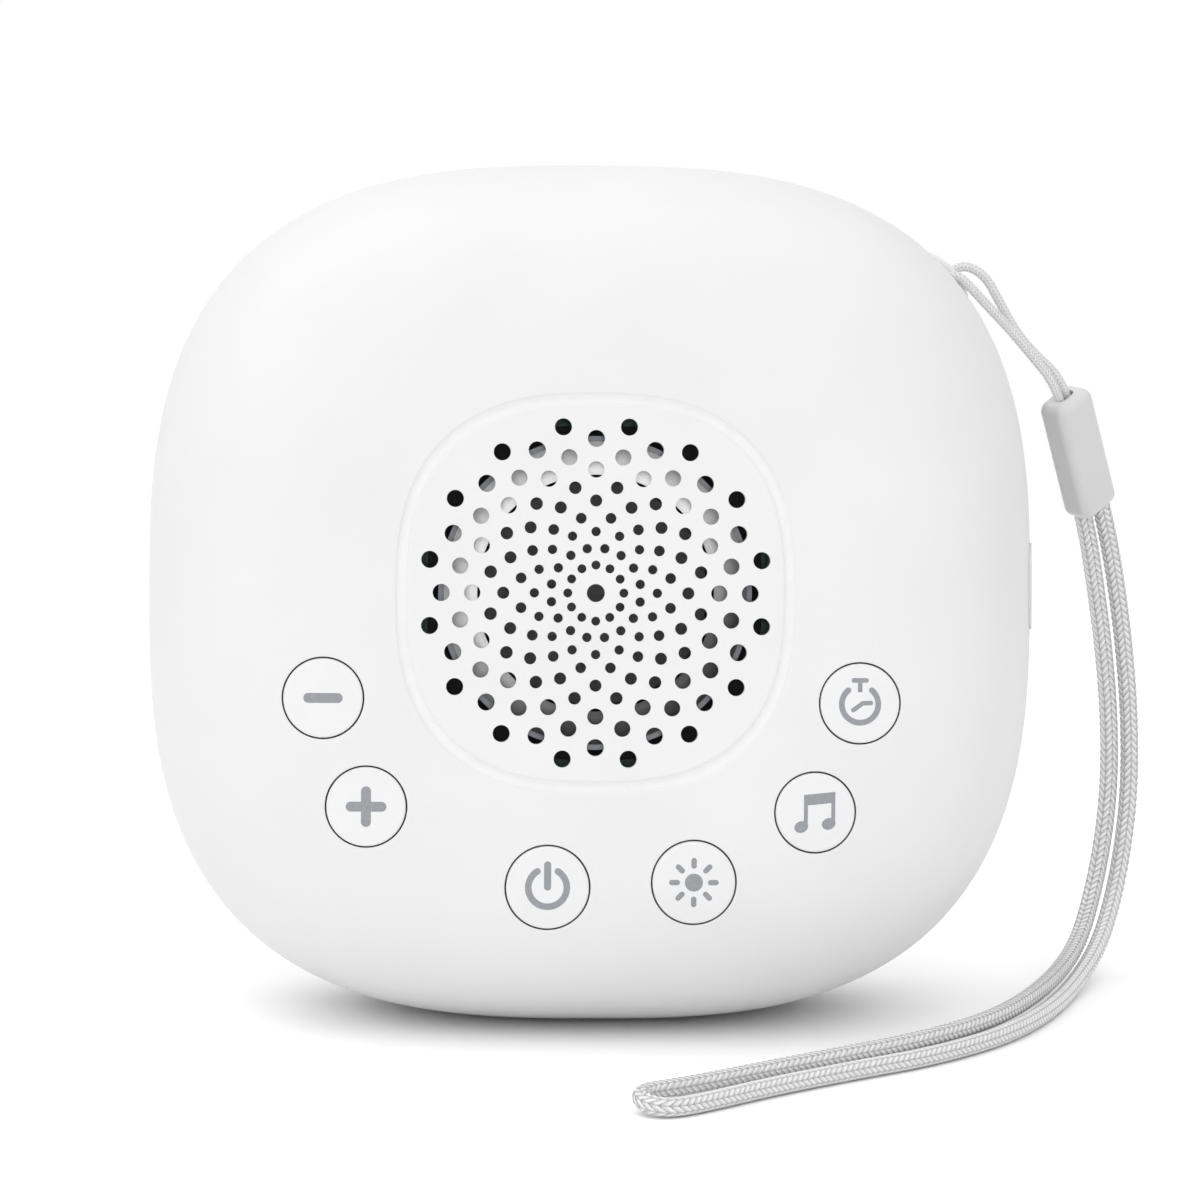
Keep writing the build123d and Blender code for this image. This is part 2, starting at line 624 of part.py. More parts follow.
def rear_shell():
    """Back of the case, with the lip that locates it, the lug, screw wells and the battery's ribs."""
    shell = (OUTER - INNER) & BEHIND_SEAM
    lip = (LIP_OUTER - INNER) & block((-FAR, FAR), (SEAM - LIP_LENGTH, SEAM + 0.5), (-FAR, FAR))
    bosses = seat_screws(CASE_SCREWS, CASE_BOSS_BACK, SEAM, BACK)
    bosses += seat_screws(BRACKET_SCREWS, SMALL_BOSS, BATTERY_FRONT, BACK)
    bosses = [boss & BOSS_LIMIT for boss in bosses]
    ribs = []
    for step in (-1, 0, 1):
        middle = BATTERY_UP + step * RIB_PITCH
        rib = block((-RIB_HALF_WIDTH, RIB_HALF_WIDTH), (BATTERY_BACK + FOAM_THICKNESS, BACK),
                    (middle - RIB_THICKNESS / 2, middle + RIB_THICKNESS / 2))
        ribs.append(rib & BOSS_LIMIT)
    floor = (FLOOR_PAD & BEHIND_SEAM) & BOSS_LIMIT
    shell = shell + [lip, floor, lug_pad()] + bosses + ribs
    label = Pos(0, LABEL_UP) * RectangleRounded(LABEL_WIDTH, LABEL_HEIGHT, LABEL_CORNER)
    cuts = [pressed(label, BACK - LABEL_SINK, BACK + 1)]
    cuts += seat_screws(CASE_SCREWS, CASE_WELL, CASE_SEAT_DEPTH, BACK + 1)
    cuts += seat_screws(CASE_SCREWS, CASE_SCREW_SHANK + SCREW_HOLE_GAP, SEAM - 1, CASE_SEAT_DEPTH + 1)
    pilot = BRACKET_FRONT + SMALL_SCREW_LENGTH + PILOT_SPARE
    cuts += seat_screws(BRACKET_SCREWS, SMALL_SCREW_SHANK, BATTERY_FRONT - 1, pilot)
    cuts += [lug_scoop(), UNDER_BASE, FOOT_POCKET]
    shell = shell - cuts
    return shell + (lug_bar() - lug_eye())


# ---------------------------------------------------------------- grille and night light
def grille_holes():
    """Places and radii of the holes: a centre hole, a ring of twelve and nine rings of sixteen."""
    holes = [(0.0, 0.0, CENTRE_HOLE / 2)]

    def ring(radius, count, diameter, phase):
        for step in range(count):
            turn = 2 * pi * (step + phase) / count
            holes.append((radius * sin(turn), radius * cos(turn), diameter / 2))

    ring(FIRST_RING_RADIUS, FIRST_RING_COUNT, FIRST_RING_HOLE, 0)
    for step, diameter in enumerate(EVEN_RING_HOLES):
        ring(EVEN_RING_START + step * RING_PITCH, RING_COUNT, diameter, 0.5)
    for step, diameter in enumerate(ODD_RING_HOLES):
        ring(ODD_RING_START + step * RING_PITCH, RING_COUNT, diameter, 0)
    return holes


def speaker_grille():
    """Flat panel in front of the speaker, with a rounded edge and its pattern of holes."""
    panel = pressed(rounded_square(GROOVE_INNER), FACE, WALL_INSIDE)
    front_edges = panel.faces().sort_by(Axis.Y)[0].edges()
    panel = fillet(front_edges, EDGE_ROUND)
    panel -= disc(0, 0, GRILLE_RECESS, FACE + GRILLE_MIDDLE, WALL_INSIDE + 1)
    bores = [disc(across, up, radius, FACE - 1, WALL_INSIDE + 1) for across, up, radius in grille_holes()]
    return panel - Compound(bores)


def night_light_ring():
    """Milky diffuser: a rim that shows in the groove round the grille and a flange behind the face."""
    rim_outer = GROOVE_OUTER - RIM_GAP
    rim_inner = GROOVE_INNER + RIM_GAP
    rim = pressed(rounded_square(rim_outer) - rounded_square(rim_inner), FACE + RING_RECESS, WALL_INSIDE)
    flange = rounded_square(RING_FLANGE_OUTER) - rounded_square(RING_FLANGE_INNER)
    return rim + pressed(flange, WALL_INSIDE, RING_FLANGE_BACK)


def light_board():
    """Ring-shaped board for the night light."""
    ring = rounded_square(LIGHT_BOARD_OUTER) - rounded_square(LIGHT_BOARD_INNER)
    return pressed(ring, LIGHT_BOARD_FRONT, RETAINER_FRONT)


def led_places():
    """Points on the rounded square over which the light diodes stand."""
    places = []
    for step in range(LED_COUNT):
        turn = 2 * pi * (step + 0.5) / LED_COUNT
        reach = (abs(cos(turn)) ** FACE_EXPONENT + abs(sin(turn)) ** FACE_EXPONENT) ** (-1 / FACE_EXPONENT)
        places.append((LED_RADIUS * reach * cos(turn), LED_RADIUS * reach * sin(turn)))
    return places


def light_diodes():
    """Twelve light diodes on the front of the light board."""
    half = LED_WIDTH / 2
    front = LIGHT_BOARD_FRONT - LED_HEIGHT
    return Compound([
        block((across - half, across + half), (front, LIGHT_BOARD_FRONT), (up - half, up + half))
        for across, up in led_places()])


# ---------------------------------------------------------------- speaker
FLANGE_BACK = BASKET_FRONT + BASKET_FLANGE
LIP_LEVEL = BASKET_FRONT - SURROUND_THICKNESS
BASKET_FLOOR = BASKET_FRONT + BASKET_DEPTH
TOP_PLATE_FRONT = BASKET_FLOOR + BASKET_WALL
MAGNET_FRONT = TOP_PLATE_FRONT + TOP_PLATE_THICKNESS
YOKE_FRONT = MAGNET_FRONT + MAGNET_THICKNESS
CONE_FRONT = BASKET_FRONT + 0.5
CONE_EDGE = SURROUND_INNER - CONE_GAP
CONE_BACK = CONE_FRONT + CONE_DEPTH
SPIDER_LEVEL = BASKET_FLOOR - 1.2
TERMINAL_SEAT = BASKET_NECK + 2.2


def speaker_gasket():
    """Light ring of card between the speaker's rim and the grille, sloping back from its inner edge."""
    front = FACE + GRILLE_MIDDLE
    back = LIP_LEVEL
    return turned([(GASKET_INNER, front), (GASKET_FLAT, front),
                   (GASKET_OUTER, back - GASKET_EDGE), (GASKET_OUTER, back), (GASKET_INNER, back)])


def speaker_basket():
    """Pressed frame: a flat rim, a sloping wall with windows and a ring for the magnet."""
    slope_top = SURROUND_INNER + 2 * SURROUND_ROLL + 0.6
    frame = turned([
        (slope_top, BASKET_FRONT), (BASKET_RADIUS, BASKET_FRONT), (BASKET_RADIUS, FLANGE_BACK),
        (slope_top + BASKET_WALL, FLANGE_BACK), (BASKET_NECK, BASKET_FLOOR),
        (BASKET_NECK, TOP_PLATE_FRONT), (TOP_PLATE_BORE + 1.2, TOP_PLATE_FRONT),
        (TOP_PLATE_BORE + 1.2, BASKET_FLOOR), (BASKET_NECK - BASKET_WALL, BASKET_FLOOR),
        (slope_top, FLANGE_BACK)])
    windows = []
    window_front = FLANGE_BACK + 1.0
    window_back = SPIDER_LEVEL - 1.2
    for step in range(BASKET_WINDOWS):
        turn = 360 * (step + 0.5) / BASKET_WINDOWS
        opening = block((BASKET_NECK - 2, BASKET_RADIUS + 1), (window_front, window_back), (-4.0, 4.0))
        windows.append(Rot(0, turn, 0) * opening)
    seat = block((-5.0, 5.0), (BASKET_FLOOR - 3.6, BASKET_FLOOR + 0.4), (BASKET_NECK - 0.2, TERMINAL_SEAT))
    ledge_front = SPIDER_LEVEL + SPIDER_THICKNESS
    ledge_back = BASKET_FLOOR + 0.2
    ledge = turned([(SPIDER_OUTER, ledge_front), (BASKET_NECK - 0.4, ledge_front),
                    (BASKET_NECK - 0.4, ledge_back), (SPIDER_OUTER, ledge_back)])
    return frame - windows + [seat, ledge]


def speaker_terminals():
    """Small terminal card on the frame's top, with two solder tags."""
    low = TERMINAL_SEAT
    card = block((-4.5, 4.5), (BASKET_FLOOR - 3.4, BASKET_FLOOR + 0.2), (low, low + 0.8))
    tags = []
    for side in (-1, 1):
        across = side * LEAD_PITCH
        tags.append(block((across - 0.8, across + 0.8), (BASKET_FLOOR - 2.8, BASKET_FLOOR - 0.6),
                          (low + 0.8, low + 1.1)))
    return Compound([card] + tags)


def speaker_surround():
    """Rubber half roll from the rim to the cone, bulging backwards."""
    lip_inner = SURROUND_INNER + 2 * SURROUND_ROLL - SURROUND_THICKNESS / 2
    lip = turned([(lip_inner, LIP_LEVEL), (GASKET_OUTER, LIP_LEVEL),
                  (GASKET_OUTER, BASKET_FRONT), (lip_inner, BASKET_FRONT)])
    middle = SURROUND_INNER + SURROUND_ROLL
    outer = SURROUND_ROLL
    inner = SURROUND_ROLL - SURROUND_THICKNESS
    roll = Pos(middle, LIP_LEVEL) * (Circle(outer) - Circle(inner))
    behind = Pos(middle, LIP_LEVEL + outer) * Rectangle(2 * outer, 2 * outer)
    return lip + revolve(roll & behind, axis=Axis.Y)


def speaker_cone():
    """Paper cone, which moves back and forth."""
    return turned([
        (CONE_EDGE, CONE_FRONT), (CONE_EDGE, CONE_FRONT + CONE_THICKNESS),
        (CONE_NECK + CONE_THICKNESS, CONE_BACK), (CONE_NECK, CONE_BACK),
        (CONE_NECK, CONE_BACK - CONE_THICKNESS), (CONE_EDGE - CONE_LIP, CONE_FRONT)])


def dust_cap():
    """Shallow dome over the cone's neck."""
    rise = DUST_CAP_RISE
    radius = (DUST_CAP_RADIUS ** 2 + rise ** 2) / (2 * rise)
    slope = (CONE_DEPTH - CONE_THICKNESS) / (CONE_EDGE - CONE_LIP - CONE_NECK)
    level = CONE_BACK - CONE_THICKNESS - slope * (DUST_CAP_RADIUS - CONE_NECK)
    thick = 0.25
    centre = level - rise + radius
    ball = Pos(0, centre, 0) * (Sphere(radius) - Sphere(radius - thick))
    return ball & disc(0, 0, DUST_CAP_RADIUS, FACE, level)


def voice_coil():
    """Coil on its former, from the cone's neck into the magnet's gap."""
    front = CONE_BACK - 0.6
    return turned([(COIL_INNER, front), (COIL_OUTER, front),
                   (COIL_OUTER, front + COIL_LENGTH), (COIL_INNER, front + COIL_LENGTH)])


def speaker_spider():
    """Corrugated ring that centres the coil."""
    inner = COIL_OUTER + SPIDER_GAP
    steps = 4 * SPIDER_WAVES
    pitch = (SPIDER_OUTER - inner) / steps
    wave = []
    for step in range(steps + 1):
        swing = 0.45 * sin(step * pi / 2)
        wave.append((inner + step * pitch, SPIDER_LEVEL + swing))
    wave.append((SPIDER_RIM, SPIDER_LEVEL))
    back = [(radius, depth + SPIDER_THICKNESS) for radius, depth in reversed(wave)]
    return turned(wave + back)


def speaker_top_plate():
    """Steel plate between the frame and the magnet."""
    return turned([(TOP_PLATE_BORE, TOP_PLATE_FRONT), (TOP_PLATE_RADIUS, TOP_PLATE_FRONT),
                   (TOP_PLATE_RADIUS, MAGNET_FRONT), (TOP_PLATE_BORE, MAGNET_FRONT)])


def speaker_magnet():
    """Ferrite ring."""
    return turned([(MAGNET_BORE, MAGNET_FRONT), (MAGNET_RADIUS, MAGNET_FRONT),
                   (MAGNET_RADIUS, YOKE_FRONT), (MAGNET_BORE, YOKE_FRONT)])


def speaker_yoke():
    """Back plate and pole in one piece."""
    back = YOKE_FRONT + YOKE_THICKNESS
    return turned([(0, TOP_PLATE_FRONT), (POLE_RADIUS, TOP_PLATE_FRONT), (POLE_RADIUS, YOKE_FRONT),
                   (TOP_PLATE_RADIUS, YOKE_FRONT), (TOP_PLATE_RADIUS, back), (0, back)])


def speaker_retainer():
    """Plate that clamps the speaker, the light board and the grille, with four ears for screws."""
    plate = pressed(rounded_square(RETAINER_OUTER), RETAINER_FRONT, RETAINER_BACK)
    ears = seat_screws(RETAINER_EARS, EAR_RADIUS, RETAINER_FRONT, RETAINER_BACK)
    for across, up in RETAINER_EARS:
        turn = degrees(atan2(up, across))
        neck = Rot(0, 0, turn) * Pos(sqrt(across ** 2 + up ** 2) - 3, 0) * Rectangle(6, 2 * EAR_RADIUS)
        ears.append(pressed(neck, RETAINER_FRONT, RETAINER_BACK))
    collar = disc(0, 0, BASKET_RADIUS, FLANGE_BACK, RETAINER_FRONT + 0.2)
    cuts = [disc(0, 0, RETAINER_BORE, FACE, RETAINER_BACK + 1)]
    cuts += seat_screws(RETAINER_EARS, SMALL_SCREW_SHANK + SCREW_HOLE_GAP, FACE, RETAINER_BACK + 1)
    return (plate + ears + [collar]) - cuts


# ---------------------------------------------------------------- icons on the buttons
def bar_icon(length, width, turn=0.0):
    """A straight bar with round ends."""
    return Rot(0, 0, turn) * SlotOverall(length, width)


def open_ring(outer, stroke, gap):
    """A ring with round ends, open by gap degrees on each side of the top."""
    middle = (outer - stroke) / 2
    ring = Circle(outer / 2) - Circle(outer / 2 - stroke)
    reach = 2 * outer
    wedge = make_face(Polyline(
        (0, 0), (reach * sin(radians(gap)), reach * cos(radians(gap))),
        (-reach * sin(radians(gap)), reach * cos(radians(gap))), close=True))
    ends = [Pos(side * middle * sin(radians(gap)), middle * cos(radians(gap))) * Circle(stroke / 2)
            for side in (-1, 1)]
    return ring - wedge + ends


def minus_icon():
    return bar_icon(4.35, 1.1)


def plus_icon():
    return bar_icon(4.5, 1.1) + bar_icon(4.5, 1.1, 90)


def power_icon():
    return open_ring(5.0, 0.73, 32) + Pos(0, 1.3) * bar_icon(3.25, 0.78, 90)


def light_icon():
    """A disc with eight rays."""
    icon = Circle(1.0)
    for step in range(8):
        icon += Rot(0, 0, 45 * step) * Pos(2.15, 0) * bar_icon(1.2, 0.6)
    return icon


def music_icon():
    """Two notes joined by a slanting beam."""
    rise = 0.35
    left, right = -1.05, 2.0
    beam = make_face(Polyline((left - 0.22, 1.95), (right + 0.22, 1.95 + rise),
                              (right + 0.22, 0.75 + rise), (left - 0.22, 0.75), close=True))
    icon = beam
    for across, foot, top in ((left, -1.6, 1.4), (right, -1.6 + rise, 1.4 + rise)):
        icon += Pos(across, (foot + top) / 2) * Rectangle(0.44, top - foot)
        icon += Pos(across - 0.5, foot) * Rot(0, 0, 20) * Ellipse(0.78, 0.64)
    return icon


def timer_icon():
    """A stopwatch: an open ring, its crown and a bent hand."""
    icon = Pos(0, -0.1) * open_ring(4.7, 0.64, 40)
    icon += Pos(0, 2.55) * bar_icon(1.9, 0.52)
    icon += Pos(0, 1.9) * Rectangle(0.5, 1.3)
    elbow = (0.3, 0.02)
    for end in ((-0.75, -0.75), (1.2, 0.05)):
        run = sqrt((end[0] - elbow[0]) ** 2 + (end[1] - elbow[1]) ** 2)
        middle = ((end[0] + elbow[0]) / 2, (end[1] + elbow[1]) / 2)
        turn = degrees(atan2(end[1] - elbow[1], end[0] - elbow[0]))
        icon += Pos(*middle) * bar_icon(run + 0.5, 0.5, turn)
    return icon


ICONS = {
    "minus": minus_icon,
    "plus": plus_icon,
    "power": power_icon,
    "light": light_icon,
    "music": music_icon,
    "timer": timer_icon,
}
ICON_FLOOR = case_body(ICON_DEPTH)
ICON_TOP = case_body(ICON_RECESS)


# ---------------------------------------------------------------- buttons
def button_cap(name):
    """Cap that follows the face, hollow behind, with a stop flange and a stem to its switch."""
    across, up, radius = BUTTONS[name]
    cap = disc(across, up, radius, FACE - 1, CAP_FLANGE_FRONT) & OUTER
    rim = cap.edges().sort_by(Axis.Y)[0]
    cap = fillet(rim, CAP_ROUND)
    flange = disc(across, up, radius + CAP_FLANGE, CAP_FLANGE_FRONT, CAP_FLANGE_FRONT + CAP_FLANGE_THICKNESS)
    hollow = disc(across, up, radius - CAP_WALL, FACE + CAP_TOP_INNER, CAP_FLANGE_FRONT + 2)
    stem = disc(across, up, STEM_RADIUS, FACE + CAP_TOP_INNER - 0.2, PLUNGER_TOP)
    icon = pressed(Pos(across, up) * ICONS[name](), FACE - 1, FACE + CAP_TOP_INNER - 1) - ICON_FLOOR
    return (cap + flange) - hollow - icon + stem


def button_icon(name):
    """Grey symbol moulded into the cap."""
    across, up, _ = BUTTONS[name]
    icon = pressed(Pos(across, up) * ICONS[name](), FACE - 1, FACE + CAP_TOP_INNER - 1)
    return (icon & ICON_TOP) - ICON_FLOOR


def switch_plunger(name):
    """Moving pin of the switch under a button."""
    across, up, _ = BUTTONS[name]
    return disc(across, up, PLUNGER_RADIUS, PLUNGER_TOP, PLUNGER_TOP + PLUNGER_LENGTH)


# ---------------------------------------------------------------- board and what stands on it
def main_board():
    """Circuit board with a bore for the magnet and notches round the case bosses."""
    outline = rounded_square(BOARD_HALF_WIDTH, BOARD_HALF_HEIGHT, RIM_EXPONENT)
    board = pressed(outline, BOARD_FRONT, BOARD_BACK)
    cuts = [disc(0, 0, BOARD_BORE, FACE, BACK)]
    cuts += seat_screws(CASE_SCREWS, CASE_BOSS + 0.6, FACE, BACK)
    cuts += seat_screws(BOARD_BOSSES, SMALL_SCREW_SHANK + SCREW_HOLE_GAP, FACE, BACK)
    return board - cuts


def tact_switches():
    """Six switch housings, one behind each button."""
    half = SWITCH_WIDTH / 2
    housings = []
    for across, up, _ in BUTTONS.values():
        housing = block((across - half, across + half), (SWITCH_TOP, BOARD_FRONT), (up - half, up + half))
        housing = chamfer(housing.edges().filter_by(Axis.Y), 0.4)
        bore = disc(across, up, PLUNGER_RADIUS + PLUNGER_GAP, SWITCH_TOP - 1, BOARD_FRONT - SWITCH_FLOOR)
        housings.append(housing - bore)
    return Compound(housings)


def switch_domes():
    """Snap discs on the floors of the switches."""
    level = BOARD_FRONT - SWITCH_FLOOR
    domes = []
    for across, up, _ in BUTTONS.values():
        domes.append(disc(across, up, DOME_RADIUS, level - DOME_THICKNESS, level))
    return Compound(domes)


def on_board_back(across, up, width, height, tall):
    """A box that stands on the back of the board."""
    return block((across - width / 2, across + width / 2), (BOARD_BACK, BOARD_BACK + tall),
                 (up - height / 2, up + height / 2))


CHIPS = (
    (-24.0, 8.0, 7.0, 7.0, 0.9),
    (-26.0, -6.0, 5.0, 4.0, 1.6),
    (24.0, 14.0, 5.0, 5.0, 1.5),
    (33.0, 9.5, 3.0, 3.0, 1.1),
    (-21.0, -20.0, 4.0, 3.0, 1.1),
)
CAPACITORS = ((26.0, -4.0), (26.0, -12.0), (-33.0, 14.0))
INDUCTOR = (20.0, 24.0)
BATTERY_HEADER = (-12.0, 22.0)
SPEAKER_HEADER = (0.0, 23.0)


def board_chips():
    """Processor, sound memory, amplifier, charger and voltage regulator."""
    return Compound([on_board_back(*chip) for chip in CHIPS])


def board_capacitors():
    """Three electrolytic cans on square bases."""
    cans = []
    for across, up in CAPACITORS:
        base = on_board_back(across, up, 5.3, 5.3, 0.8)
        can = disc(across, up, 2.5, BOARD_BACK + 0.8, BOARD_BACK + 5.4)
        cans.append(base + chamfer(can.edges().sort_by(Axis.Y)[-1], 0.3))
    return Compound(cans)


def board_inductor():
    """Power inductor: a drum in a square base."""
    across, up = INDUCTOR
    base = on_board_back(across, up, 5.0, 5.0, 0.6)
    drum = disc(across, up, 2.3, BOARD_BACK + 0.6, BOARD_BACK + 2.4)
    return base + drum


HEADER_WIDTH = 6.0
HEADER_HEIGHT = 4.4
HEADER_TALL = 4.8
SPEAKER_HEADER_TALL = 3.4


def board_connectors():
    """Sockets for the battery's and the speaker's leads, with their plugs in."""
    across, up = BATTERY_HEADER
    battery = on_board_back(across, up, HEADER_WIDTH, HEADER_HEIGHT, HEADER_TALL)
    across, up = SPEAKER_HEADER
    speaker = block((across - HEADER_WIDTH / 2, across + HEADER_WIDTH / 2),
                    (BOARD_FRONT - SPEAKER_HEADER_TALL, BOARD_FRONT),
                    (up - HEADER_HEIGHT / 2, up + HEADER_HEIGHT / 2))
    return Compound([battery, speaker])


# ---------------------------------------------------------------- battery
PROTECTION_LOW = BATTERY_UP + BATTERY_HEIGHT / 2
PROTECTION_FRONT = BATTERY_FRONT + 3.0


def battery_cell():
    """Lithium pouch with rounded edges."""
    half_width = BATTERY_WIDTH / 2
    half_height = BATTERY_HEIGHT / 2
    cell = block((-half_width, half_width), (BATTERY_FRONT, BATTERY_BACK),
                 (BATTERY_UP - half_height, BATTERY_UP + half_height))
    return fillet(cell.edges().filter_by(Axis.Z) + cell.edges().filter_by(Axis.X), BATTERY_ROUND)


def battery_protection():
    """Small protection board along the pouch's top edge."""
    half = PROTECTION_WIDTH / 2
    return block((-half, half), (PROTECTION_FRONT, PROTECTION_FRONT + PROTECTION_THICKNESS),
                 (PROTECTION_LOW, PROTECTION_LOW + PROTECTION_HEIGHT))


def battery_foam():
    """Foam sheet between the pouch and the ribs of the rear shell."""
    half = RIB_HALF_WIDTH
    reach = RIB_PITCH + RIB_THICKNESS
    return block((-half, half), (BATTERY_BACK, BATTERY_BACK + FOAM_THICKNESS),
                 (BATTERY_UP - reach, BATTERY_UP + reach))


def battery_bracket():
    """Plate that holds the pouch, with a window, screwed down at both ends."""
    height = BRACKET_HEIGHT
    outline = Pos(0, BATTERY_UP) * RectangleRounded(2 * BRACKET_HALF_WIDTH + 7, height, 3.0)
    window = Pos(0, BATTERY_UP) * RectangleRounded(BRACKET_WINDOW, height - 6, 2.0)
    plate = pressed(outline - window, BRACKET_FRONT, BATTERY_FRONT)
    hole = SMALL_SCREW_SHANK + SCREW_HOLE_GAP
    return plate - seat_screws(BRACKET_SCREWS, hole, FACE, BACK)


def battery_lead(side, name):
    """One insulated lead from the protection board to its socket."""
    across, up = BATTERY_HEADER
    start_x = side * LEAD_PITCH / 2 - 4.0
    end_x = across + side * LEAD_PITCH / 2
    start_up = PROTECTION_LOW + PROTECTION_HEIGHT / 2
    end_depth = BOARD_BACK + HEADER_TALL
    points = [
        (start_x, PROTECTION_FRONT, start_up),
        (start_x, PROTECTION_FRONT - 4.0, start_up + 0.3),
        (start_x - 2.5, PROTECTION_FRONT - 7.0, start_up + 2.5),
        (end_x + 1.5, end_depth + 5.0, up - 0.5),
        (end_x, end_depth + 2.5, up),
        (end_x, end_depth, up),
    ]
    return tube(name, points, LEAD_DIAMETER)


def speaker_leads():
    """Two leads from the terminal card to their socket."""
    across, up = SPEAKER_HEADER
    low = TERMINAL_SEAT + 1.1
    leads = []
    for side in (-1, 1):
        start_x = side * LEAD_PITCH
        end_x = across + side * LEAD_PITCH / 2
        start_depth = BASKET_FLOOR - 1.7
        end_depth = BOARD_FRONT - SPEAKER_HEADER_TALL / 2
        points = [
            (start_x, start_depth, low),
            (start_x, start_depth, low + 1.4),
            (end_x, end_depth, up - HEADER_HEIGHT / 2 - 1.4),
            (end_x, end_depth, up - HEADER_HEIGHT / 2),
        ]
        leads.append(tube(f"speaker_lead {side}", points, LEAD_DIAMETER))
    return Compound(leads)


# ---------------------------------------------------------------- screws
def screw(across, up, head_depth, toward, length, shank, head, head_height):
    """Pan-head screw with a cross slot. Its head sits at head_depth and its shank runs to the face."""
    bolt = disc(across, up, shank, head_depth - length, head_depth)
    cap = disc(across, up, head, head_depth, head_depth + head_height)
    cap = fillet(cap.edges().sort_by(Axis.Y)[-1], head_height * 0.4)
    top = head_depth + head_height
    reach = head * 0.62
    half = SLOT_WIDTH / 2
    slots = [block((across - reach, across + reach), (top - SLOT_DEPTH, top + 1), (up - half, up + half)),
             block((across - half, across + half), (top - SLOT_DEPTH, top + 1), (up - reach, up + reach))]
    body = bolt + cap - slots
    if toward > 0:
        body = Pos(0, 2 * head_depth, 0) * mirror(body, Plane.XZ)
    return body


def small_screws(places, head_depth, length, toward=-1):
    """A set of small screws of one length."""
    return Compound([
        screw(across, up, head_depth, toward, length, SMALL_SCREW_SHANK, SMALL_SCREW_HEAD,
              SMALL_SCREW_HEAD_HEIGHT)
        for across, up in places])


def case_screws():
    """Four screws that join the shells, at the bottoms of their wells."""
    return Compound([
        screw(across, up, CASE_SEAT_DEPTH, -1, CASE_SCREW_LENGTH, CASE_SCREW_SHANK, CASE_SCREW_HEAD,
              CASE_SCREW_HEAD_HEIGHT)
        for across, up in CASE_SCREWS])


# ---------------------------------------------------------------- wrist strap
THIN_POINTS = [
    (55.5, 15.7, 65.2), (54.2, 13.9, 69.7), (50.6, 13.3, 74.0), (48.1, 12.7, 76.9), (45.7, 12.3, 79.4),
    (43.8, 12.1, 81.5), (42.0, 12.2, 83.1), (40.1, 12.3, 81.8), (40.1, 15.4, 81.3), (41.7, 16.0, 82.8),
    (43.5, 16.1, 83.6), (45.8, 15.9, 82.3), (47.3, 15.6, 79.6), (49.1, 15.4, 76.3), (51.2, 15.3, 73.7),
    (55.0, 14.7, 70.3), (56.3, 16.5, 65.7),
]
LOOP_POINTS = [
    (59.0, 19.2, 58.7), (60.6, 21.3, 53.2), (62.1, 23.0, 46.2), (63.4, 24.5, 38.2), (64.3, 25.2, 29.6),
    (64.5, 25.1, 20.9), (63.7, 23.6, 13.6), (62.3, 20.8, 7.7), (60.2, 14.9, 3.5), (56.5, 4.8, 1.15),
    (52.1, -9.8, 1.15), (46.2, -22.0, 1.15), (37.3, -32.6, 1.15), (27.9, -39.9, 1.15), (18.8, -47.7, 1.15),
    (11.3, -55.4, 1.15), (7.2, -58.5, 1.15), (4.6, -57.2, 1.5), (4.4, -54.4, 2.0), (8.9, -51.7, 2.0),
    (16.9, -45.7, 2.2), (26.6, -38.3, 2.4), (35.8, -31.1, 2.5), (44.6, -20.9, 2.6), (50.4, -9.2, 2.8),
    (55.1, 5.3, 3.0), (58.0, 15.1, 4.5), (59.9, 21.0, 8.3), (61.3, 23.8, 14.0), (62.1, 25.1, 21.1),
    (61.9, 25.0, 29.4), (61.0, 24.1, 37.8), (59.7, 22.4, 45.6), (58.4, 20.7, 52.5), (56.9, 18.6, 57.8),
]


def bead_plane():
    """Plane of the bead: x across its wide faces, z up its length."""
    length = Vector(*BEAD_DOWN).normalized()
    level = Vector(cos(radians(BEAD_YAW)), sin(radians(BEAD_YAW)), 0)
    wide = level - length * level.dot(length)
    return Plane(origin=BEAD_CENTRE, x_dir=wide, z_dir=-length)


def strap_bead():
    """Slider bead with a slot for the thin cord on top and a socket for the loop's ends below."""
    bead = Box(BEAD_WIDTH, BEAD_THICKNESS, BEAD_LENGTH)
    bead = fillet(bead.edges().filter_by(Axis.Z), BEAD_ROUND)
    ends = bead.faces().sort_by(Axis.Z)
    bead = fillet(ends[0].edges() + ends[-1].edges(), BEAD_END_ROUND)
    half = BEAD_LENGTH / 2
    slot = Pos(0, 0, half - THIN_SLOT_DEPTH) * extrude(
        SlotOverall(THIN_SLOT_LENGTH, THIN_SLOT_WIDTH), THIN_SLOT_DEPTH + 1)
    socket = Pos(0, 0, -half - 1) * Rot(0, 0, -LOOP_SOCKET_TURN) * extrude(
        SlotCenterToCenter(LOOP_SPACING, LOOP_CORD + 2 * BEAD_CORD_GAP), LOOP_SOCKET_DEPTH + 1)
    return bead_plane() * (bead - slot - socket)


# ---------------------------------------------------------------- every piece to its file
def all_small_screws():
    """Screws of the board, the speaker's retainer and the battery's bracket."""
    board = small_screws(BOARD_BOSSES, BOARD_BACK, SMALL_SCREW_LENGTH)
    retainer = small_screws(RETAINER_EARS, RETAINER_BACK, RETAINER_SCREW_LENGTH)
    bracket = small_screws(BRACKET_SCREWS, BRACKET_FRONT, SMALL_SCREW_LENGTH, 1)
    return Compound(board.solids() + retainer.solids() + bracket.solids())


